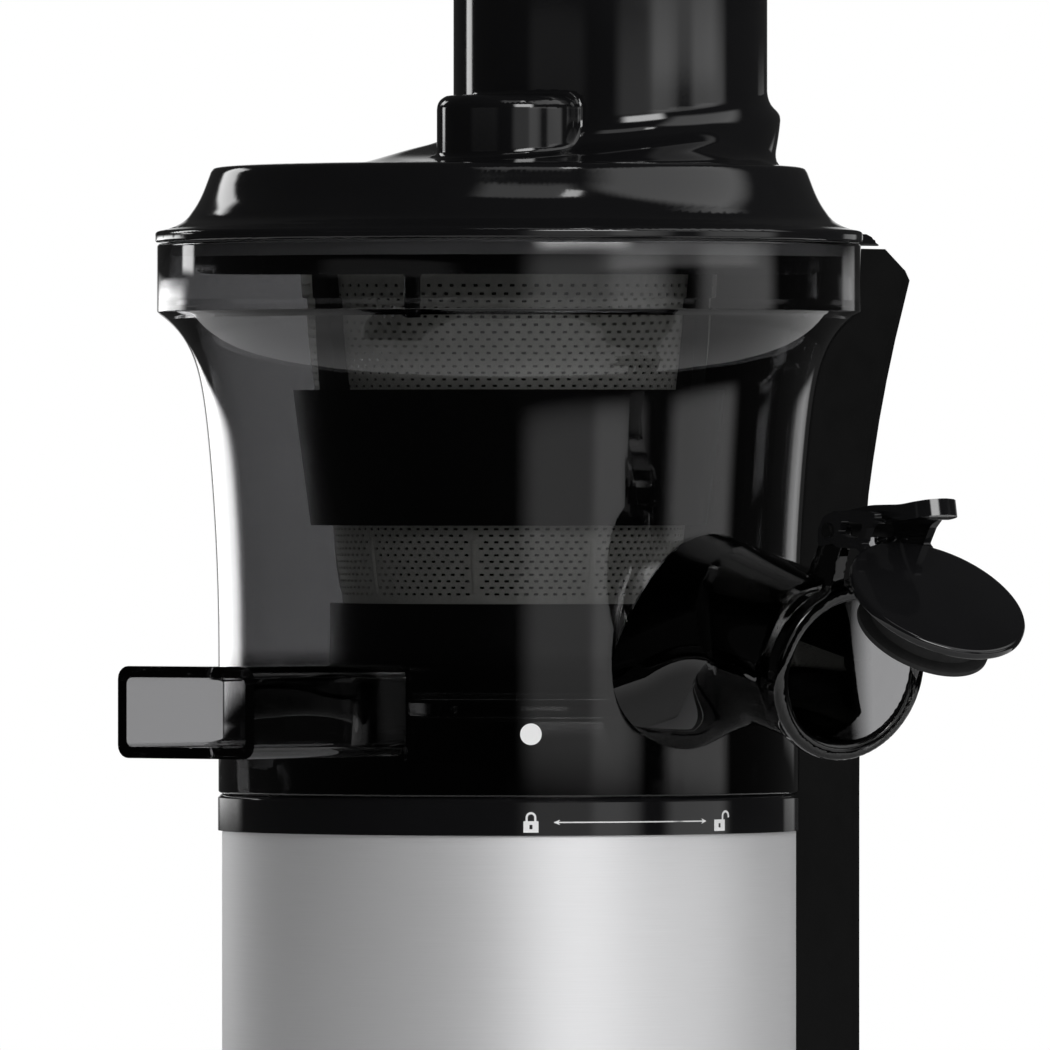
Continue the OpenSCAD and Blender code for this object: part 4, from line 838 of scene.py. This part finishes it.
def printed(name, shapes, radius, turn, height, body):
    """Flat convex shapes (x to the right, y up, in mm) laid on a cylinder as thin ink."""
    gap, thick = 0.02, 0.05
    verts, faces = [], []
    for shape in shapes:
        base = len(verts)
        for r in (radius + gap, radius + gap + thick):
            for x, y in shape:
                a = turn + x / radius
                verts.append((r * math.sin(a), -r * math.cos(a), height + y))
        faces += [tuple(base + k for k in face) for face in prism_faces(len(shape))]
    piece(name, verts, faces, "print_white", body, sharp=20)


def strips(x0, x1, y0, y1, count=1):
    xs = np.linspace(x0, x1, count + 1)
    return [[(a, y0), (b, y0), (b, y1), (a, y1)] for a, b in zip(xs, xs[1:])]


def arc_band(cx, cy, r_in, r_out, start, end, count=14):
    def at(r, a):
        return cx + r * math.cos(a), cy + r * math.sin(a)

    turns = np.radians(np.linspace(start, end, count + 1))
    return [[at(r_in, p), at(r_out, p), at(r_out, q), at(r_in, q)]
            for p, q in zip(turns, turns[1:])]


def padlock(x, open_by):
    """A body with a keyhole under a shackle, which stands aside and clear of it when open."""
    half, key_half, low, high = 1.75, 0.35, -2.35, 0.3
    body = strips(x - half, x - key_half, low, high) + strips(x + key_half, x + half, low, high)
    for y0, y1 in ((low, -1.55), (-0.55, high)):
        body += strips(x - key_half, x + key_half, y0, y1)
    shackle, bend, r_in, r_out = x + open_by, 1.15, 0.75, 1.25
    body += arc_band(shackle, bend, r_in, r_out, 0, 180)
    body += strips(shackle - r_out, shackle - r_in, high, bend)
    body += strips(shackle + r_in, shackle + r_out, 0.75 if open_by else high, bend)
    return body


def arrow(x0, x1):
    """A line with a barbed head at both ends."""
    head, wide = 1.5, 0.62
    heads = [[(tip, 0), (tip + way * head, -way * wide), (tip + way * head * 0.75, 0),
              (tip + way * head, way * wide)] for tip, way in ((x0, 1), (x1, -1))]
    return strips(x0 + 1, x1 - 1, -0.14, 0.14, 16) + heads


def on_ring(degrees):
    return math.radians(degrees) * RING_R


marks = padlock(0, 0) + padlock(on_ring(41.3), 2.0) + arrow(on_ring(4.4), on_ring(37.7))
printed("lock_marks", marks, RING_R, MARKS_TURN, MARKS_Z, "root")
dot = [(DOT_R * math.cos(a), DOT_R * math.sin(a))
       for a in np.linspace(0, 2 * math.pi, 48, endpoint=False)]
printed("lock_dot", [dot], BOWL_R, MARKS_TURN, DOT_Z, "bowl")


# ---------------------------------------------------------------- spout cap

TO_PIN = Matrix.Translation((PIN_U, 0, PIN_W))
FROM_PIN = Matrix.Translation((-PIN_U, 0, -PIN_W))
OPEN = TO_PIN @ Matrix.Rotation(math.radians(-66), 4, "Y") @ FROM_PIN
AT_CAP = AT_SPOUT @ OPEN
CAP_PLATE = (  # the side plate's outline from the pin, and the radius of each corner
    ((-5.4, 1.2), 1.2), ((-2.2, 3.4), 2.6), ((1.6, 3.4), 2.6), ((5.1, 0.6), 1.2),
    ((9.0, -4.6), 4), ((13.0, -10.2), 4), ((14.6, -13.4), 0.8), ((9.8, -12.2), 0.8),
    ((5.4, -12.4), 0.4), ((5.4, -14), 0.4), ((3.6, -14), 0.4), ((3.2, -11.2), 1.0),
    ((-0.8, -5.6), 0.8), ((-1.6, -3.0), 1.2), ((-3.4, -1.2), 0.8))
CAP_WINDOW = ((1.8, -3.3), (5.0, -3.0), (9.5, -10.4), (4.8, -10.2))
CAP_TOP = ((4.9, 0.9), (7.6, -1.8), (11.6, -6.0), (15.2, -10.6), (18.6, -15.0), (21.8, -18.4),
           (25.0, -21.4))
PLATE_SIDE, PLATE_THICK = 8.7, 2.0


def from_pin(points):
    return [(PIN_U + x, PIN_W + z) for x, z in points]


def cap_top():
    """The curved plate over both side plates; it narrows and thickens to a round thumb tab."""
    line = smooth_line(CAP_TOP, 6)
    normal = np.gradient(line, axis=0)
    normal = np.stack([normal[:, 1], -normal[:, 0]], 1) / np.linalg.norm(normal, axis=1)[:, None]
    run = np.concatenate([[0], np.cumsum(np.linalg.norm(np.diff(line, axis=0), axis=1))])
    share = run / run[-1]
    tab = 6.1
    half = 9.7 - 3.6 * np.clip((share - 0.2) / 0.5, 0, 1)
    half = np.minimum(half, np.sqrt(
        np.maximum(tab ** 2 - np.maximum(tab - (run[-1] - run), 0) ** 2, 0.4)))
    deep = 2.0 + 1.8 * np.clip((share - 0.35) / 0.4, 0, 1)
    sides = (-1, -0.5, 0, 0.5, 1)
    m, last = len(sides), len(line) - 1
    verts, faces = [], []
    for (x, z), (nx, nz), b, d in zip(from_pin(line), normal, half, deep):
        verts += [(x + nx * lift, side * b, z + nz * lift) for lift in (0.0, d) for side in sides]
    for i in range(last):
        a, b = 2 * m * i, 2 * m * (i + 1)
        for k in range(m - 1):
            faces += [(a + k, a + k + 1, b + k + 1, b + k),
                      (a + m + k, b + m + k, b + m + k + 1, a + m + k + 1)]
        faces += [(a, b, b + m, a + m), (a + m - 1, a + 2 * m - 1, b + 2 * m - 1, b + m - 1)]
    for a in (0, 2 * m * last):
        faces += [(a + k, a + k + 1, a + k + m + 1, a + k + m) for k in range(m - 1)]
    return loose("cap_clear", verts, faces)


def make_cap():
    """Drawn shut: disc, two side plates, the near one with a window, and the top plate."""
    plate = rounded(from_pin(p for p, _ in CAP_PLATE), [r for _, r in CAP_PLATE], 5)
    window = rounded(from_pin(CAP_WINDOW), 0.6, 4)
    cap = cap_top()
    near, far = (loose("plate", *prism(plate, PLATE_THICK, Matrix.Translation((0, side, 0))))
                 for side in (-PLATE_SIDE, PLATE_SIDE))
    cutter = prism(window, 2 * PLATE_THICK, Matrix.Translation((0, -PLATE_SIDE, 0)))
    combine(near, [loose("window", *cutter)], "DIFFERENCE")
    profile = rounded([(0, 0.4), (21.2, 0.4), (21.2, 2.8), (0, 3.0)], [0, 0.7, 0.9, 0], 4)
    verts, faces = revolve(profile, 128)
    disc = loose("disc", moved(verts, TURN_X), faces)
    verts, faces = revolve([(0, -20), (1.66, -20), (1.66, 20), (0, 20)], 32)
    across = TO_PIN @ Matrix.Rotation(math.radians(90), 4, "X")
    pin_hole = loose("pin_hole", moved(verts, across), faces)
    combine(cap, [near, far, disc], "UNION")
    combine(cap, [pin_hole], "DIFFERENCE")
    cap.data.transform(Matrix.Scale(MM, 4) @ AT_CAP @ Matrix.Scale(1 / MM, 4))
    cap.name = "spout_cap_moulding"
    soft = cap.modifiers.new("soft edges", "BEVEL")
    soft.width, soft.segments, soft.harden_normals = 0.3 * MM, 2, True
    soft.limit_method, soft.angle_limit = "ANGLE", math.radians(40)
    dress(cap, "gloss_black", "cap", ("spout_cap",), sharp=30)


make_cap()


# ---------------------------------------------------------------- floor, world and lamps

def seen_rays(g):
    """1 for the rays that show the background: camera, glossy and transmission."""
    path = g.node("ShaderNodeLightPath")
    names = ("Is Camera Ray", "Is Glossy Ray", "Is Transmission Ray")
    return g.fold("MAXIMUM", *(path.outputs[name] for name in names))


def stage_sheet():
    """A pale round floor; near its edge it glows for the seen rays, so it fades into the white."""
    radius, points = 0.62, 96
    verts = [(radius * math.cos(a), radius * math.sin(a), 0.0)
             for a in np.linspace(0, 2 * math.pi, points, endpoint=False)]
    mesh = bpy.data.meshes.new("floor")
    mesh.from_pydata(verts, [], [tuple(range(points))])
    floor = bpy.data.objects.new("floor", mesh)
    bpy.context.scene.collection.objects.link(floor)
    g = Surface("floor_pale")
    g.feed(Base_Color=g.ramp(g.noise(g.coords(), 6, 3), [(0.3, (0.60,) * 3), (0.7, (0.62,) * 3)]))
    g.set(Roughness=0.9, Specular_IOR_Level=0.0)
    reach = g.node("ShaderNodeVectorMath", operation="LENGTH")
    g.link(g.coords(), reach.inputs[0])
    edge = g.spread(reach.outputs["Value"], 0.0, 0.45, 0.3, radius)
    glow = g.node("ShaderNodeEmission")
    g.link(g.fold("MULTIPLY", seen_rays(g), edge), glow.inputs["Strength"])
    both = g.node("ShaderNodeAddShader")
    g.link(g.bsdf.outputs["BSDF"], both.inputs[0])
    g.link(glow.outputs["Emission"], both.inputs[1])
    g.show(both.outputs["Shader"])
    mesh.materials.append(g.mat)


WHITE = (1, 1, 1)
AMBIENT = (0.42,) * 3
# What a reflection finds, from straight behind the object (0) to the camera's side (1).
ROOM = [(0.0, WHITE), (0.002, (0.8,) * 3), (0.006, (0.03,) * 3), (1.0, (0.01,) * 3)]


def make_world():
    """White all round for the rays that show it; reflections find a dim room with a spot behind."""
    world = bpy.data.worlds.new("studio")
    bpy.context.scene.world = world
    g = Graph(world)
    facing = g.dot(g.node("ShaderNodeTexCoord").outputs["Generated"], toward)
    room = g.ramp(g.spread(facing, 0, 1, -1, 1), ROOM)
    mirrored = g.node("ShaderNodeMath", operation="GREATER_THAN")
    g.link(g.node("ShaderNodeLightPath").outputs["Glossy Depth"], mirrored.inputs[0])
    mirrored.inputs[1].default_value = 0.5
    show = g.mix(mirrored.outputs[0], WHITE, room)
    back = g.tree.nodes["Background"]
    g.link(g.mix(seen_rays(g), AMBIENT, show), back.inputs["Color"])
    back.inputs["Strength"].default_value = 1.0


def soften_edges(data, margin=0.22):
    """The soft box fades out towards its four edges."""
    g = Graph(data)
    emission = next(n for n in g.tree.nodes if n.type == "EMISSION")
    spot = g.node("ShaderNodeSeparateXYZ")
    g.link(g.node("ShaderNodeNewGeometry").outputs["Parametric"], spot.inputs[0])
    fades = [g.spread(spot.outputs[axis], 0, 1, start, end, "SMOOTHSTEP")
             for axis in ("X", "Y") for start, end in ((0, margin), (1, 1 - margin))]
    g.link(g.fold("MULTIPLY", *fades), emission.inputs["Strength"])


# Soft boxes: name, degrees round from the camera, height and distance, width and height of the
# box, all in m, radiance, and whether the box looks level instead of at AIM_BOXES.
AIM_BOXES = 0.24
LAMPS = (
    ("bowl_left", -148, 0.22, 1.5, 1.1, 0.2, 3.4, True),
    ("bowl_right", 146, 0.24, 1.5, 0.5, 0.3, 0.5, True),
    ("lid_left", -139, 0.78, 1.5, 0.45, 0.55, 3.4, False),
    ("box_front", 27, 0.22, 0.9, 0.86, 0.46, 0.55, True),
    ("box_edge", 42, 0.22, 0.89, 0.4, 0.46, 0.5, True),
    ("box_right", 78, 0.22, 0.9, 0.6, 0.46, 0.9, True),
    ("chute_right", 58, 0.41, 1.0, 1.3, 0.13, 0.9, True),
    ("chute_left", -40, 0.40, 1.6, 1.6, 0.12, 0.15, True),
    ("chute_edge", -128, 0.40, 1.6, 0.3, 0.14, 4.4, True),
    ("upper_front", 8, 1.75, 1.2, 1.2, 0.6, 0.9, False),
    ("upper_right", 76, 1.25, 1.3, 2.2, 1.1, 1.3, False),
    ("spark", 30, 1.75, 1.2, 0.22, 0.3, 7, False),
    ("key", 24, 0.72, 1.5, 1.0, 0.5, 9.5, False),
)


def lamp(name, turn, height, distance, width, tall, radiance, level):
    data = bpy.data.lights.new(name, "AREA")
    data.shape, data.size, data.size_y = "RECTANGLE", width, tall
    data.energy = radiance * width * tall * math.pi
    soften_edges(data)
    obj = bpy.data.objects.new(name, data)
    bpy.context.scene.collection.objects.link(obj)
    a = CAM_AZ + math.radians(turn)
    obj.location = (distance * math.sin(a), -distance * math.cos(a), height)
    obj.rotation_mode = "QUATERNION"
    target = Vector((0, 0, height if level else AIM_BOXES))
    obj.rotation_quaternion = (obj.location - target).to_track_quat("Z", "Y")
    obj.visible_camera = False


stage_sheet()
make_world()
for row in LAMPS:
    lamp(*row)

bpy.context.scene.view_settings.view_transform = "Standard"
bpy.context.scene.cycles.max_bounces = 24
bpy.context.scene.cycles.transmission_bounces = 20
bpy.context.scene.cycles.transparent_max_bounces = 24
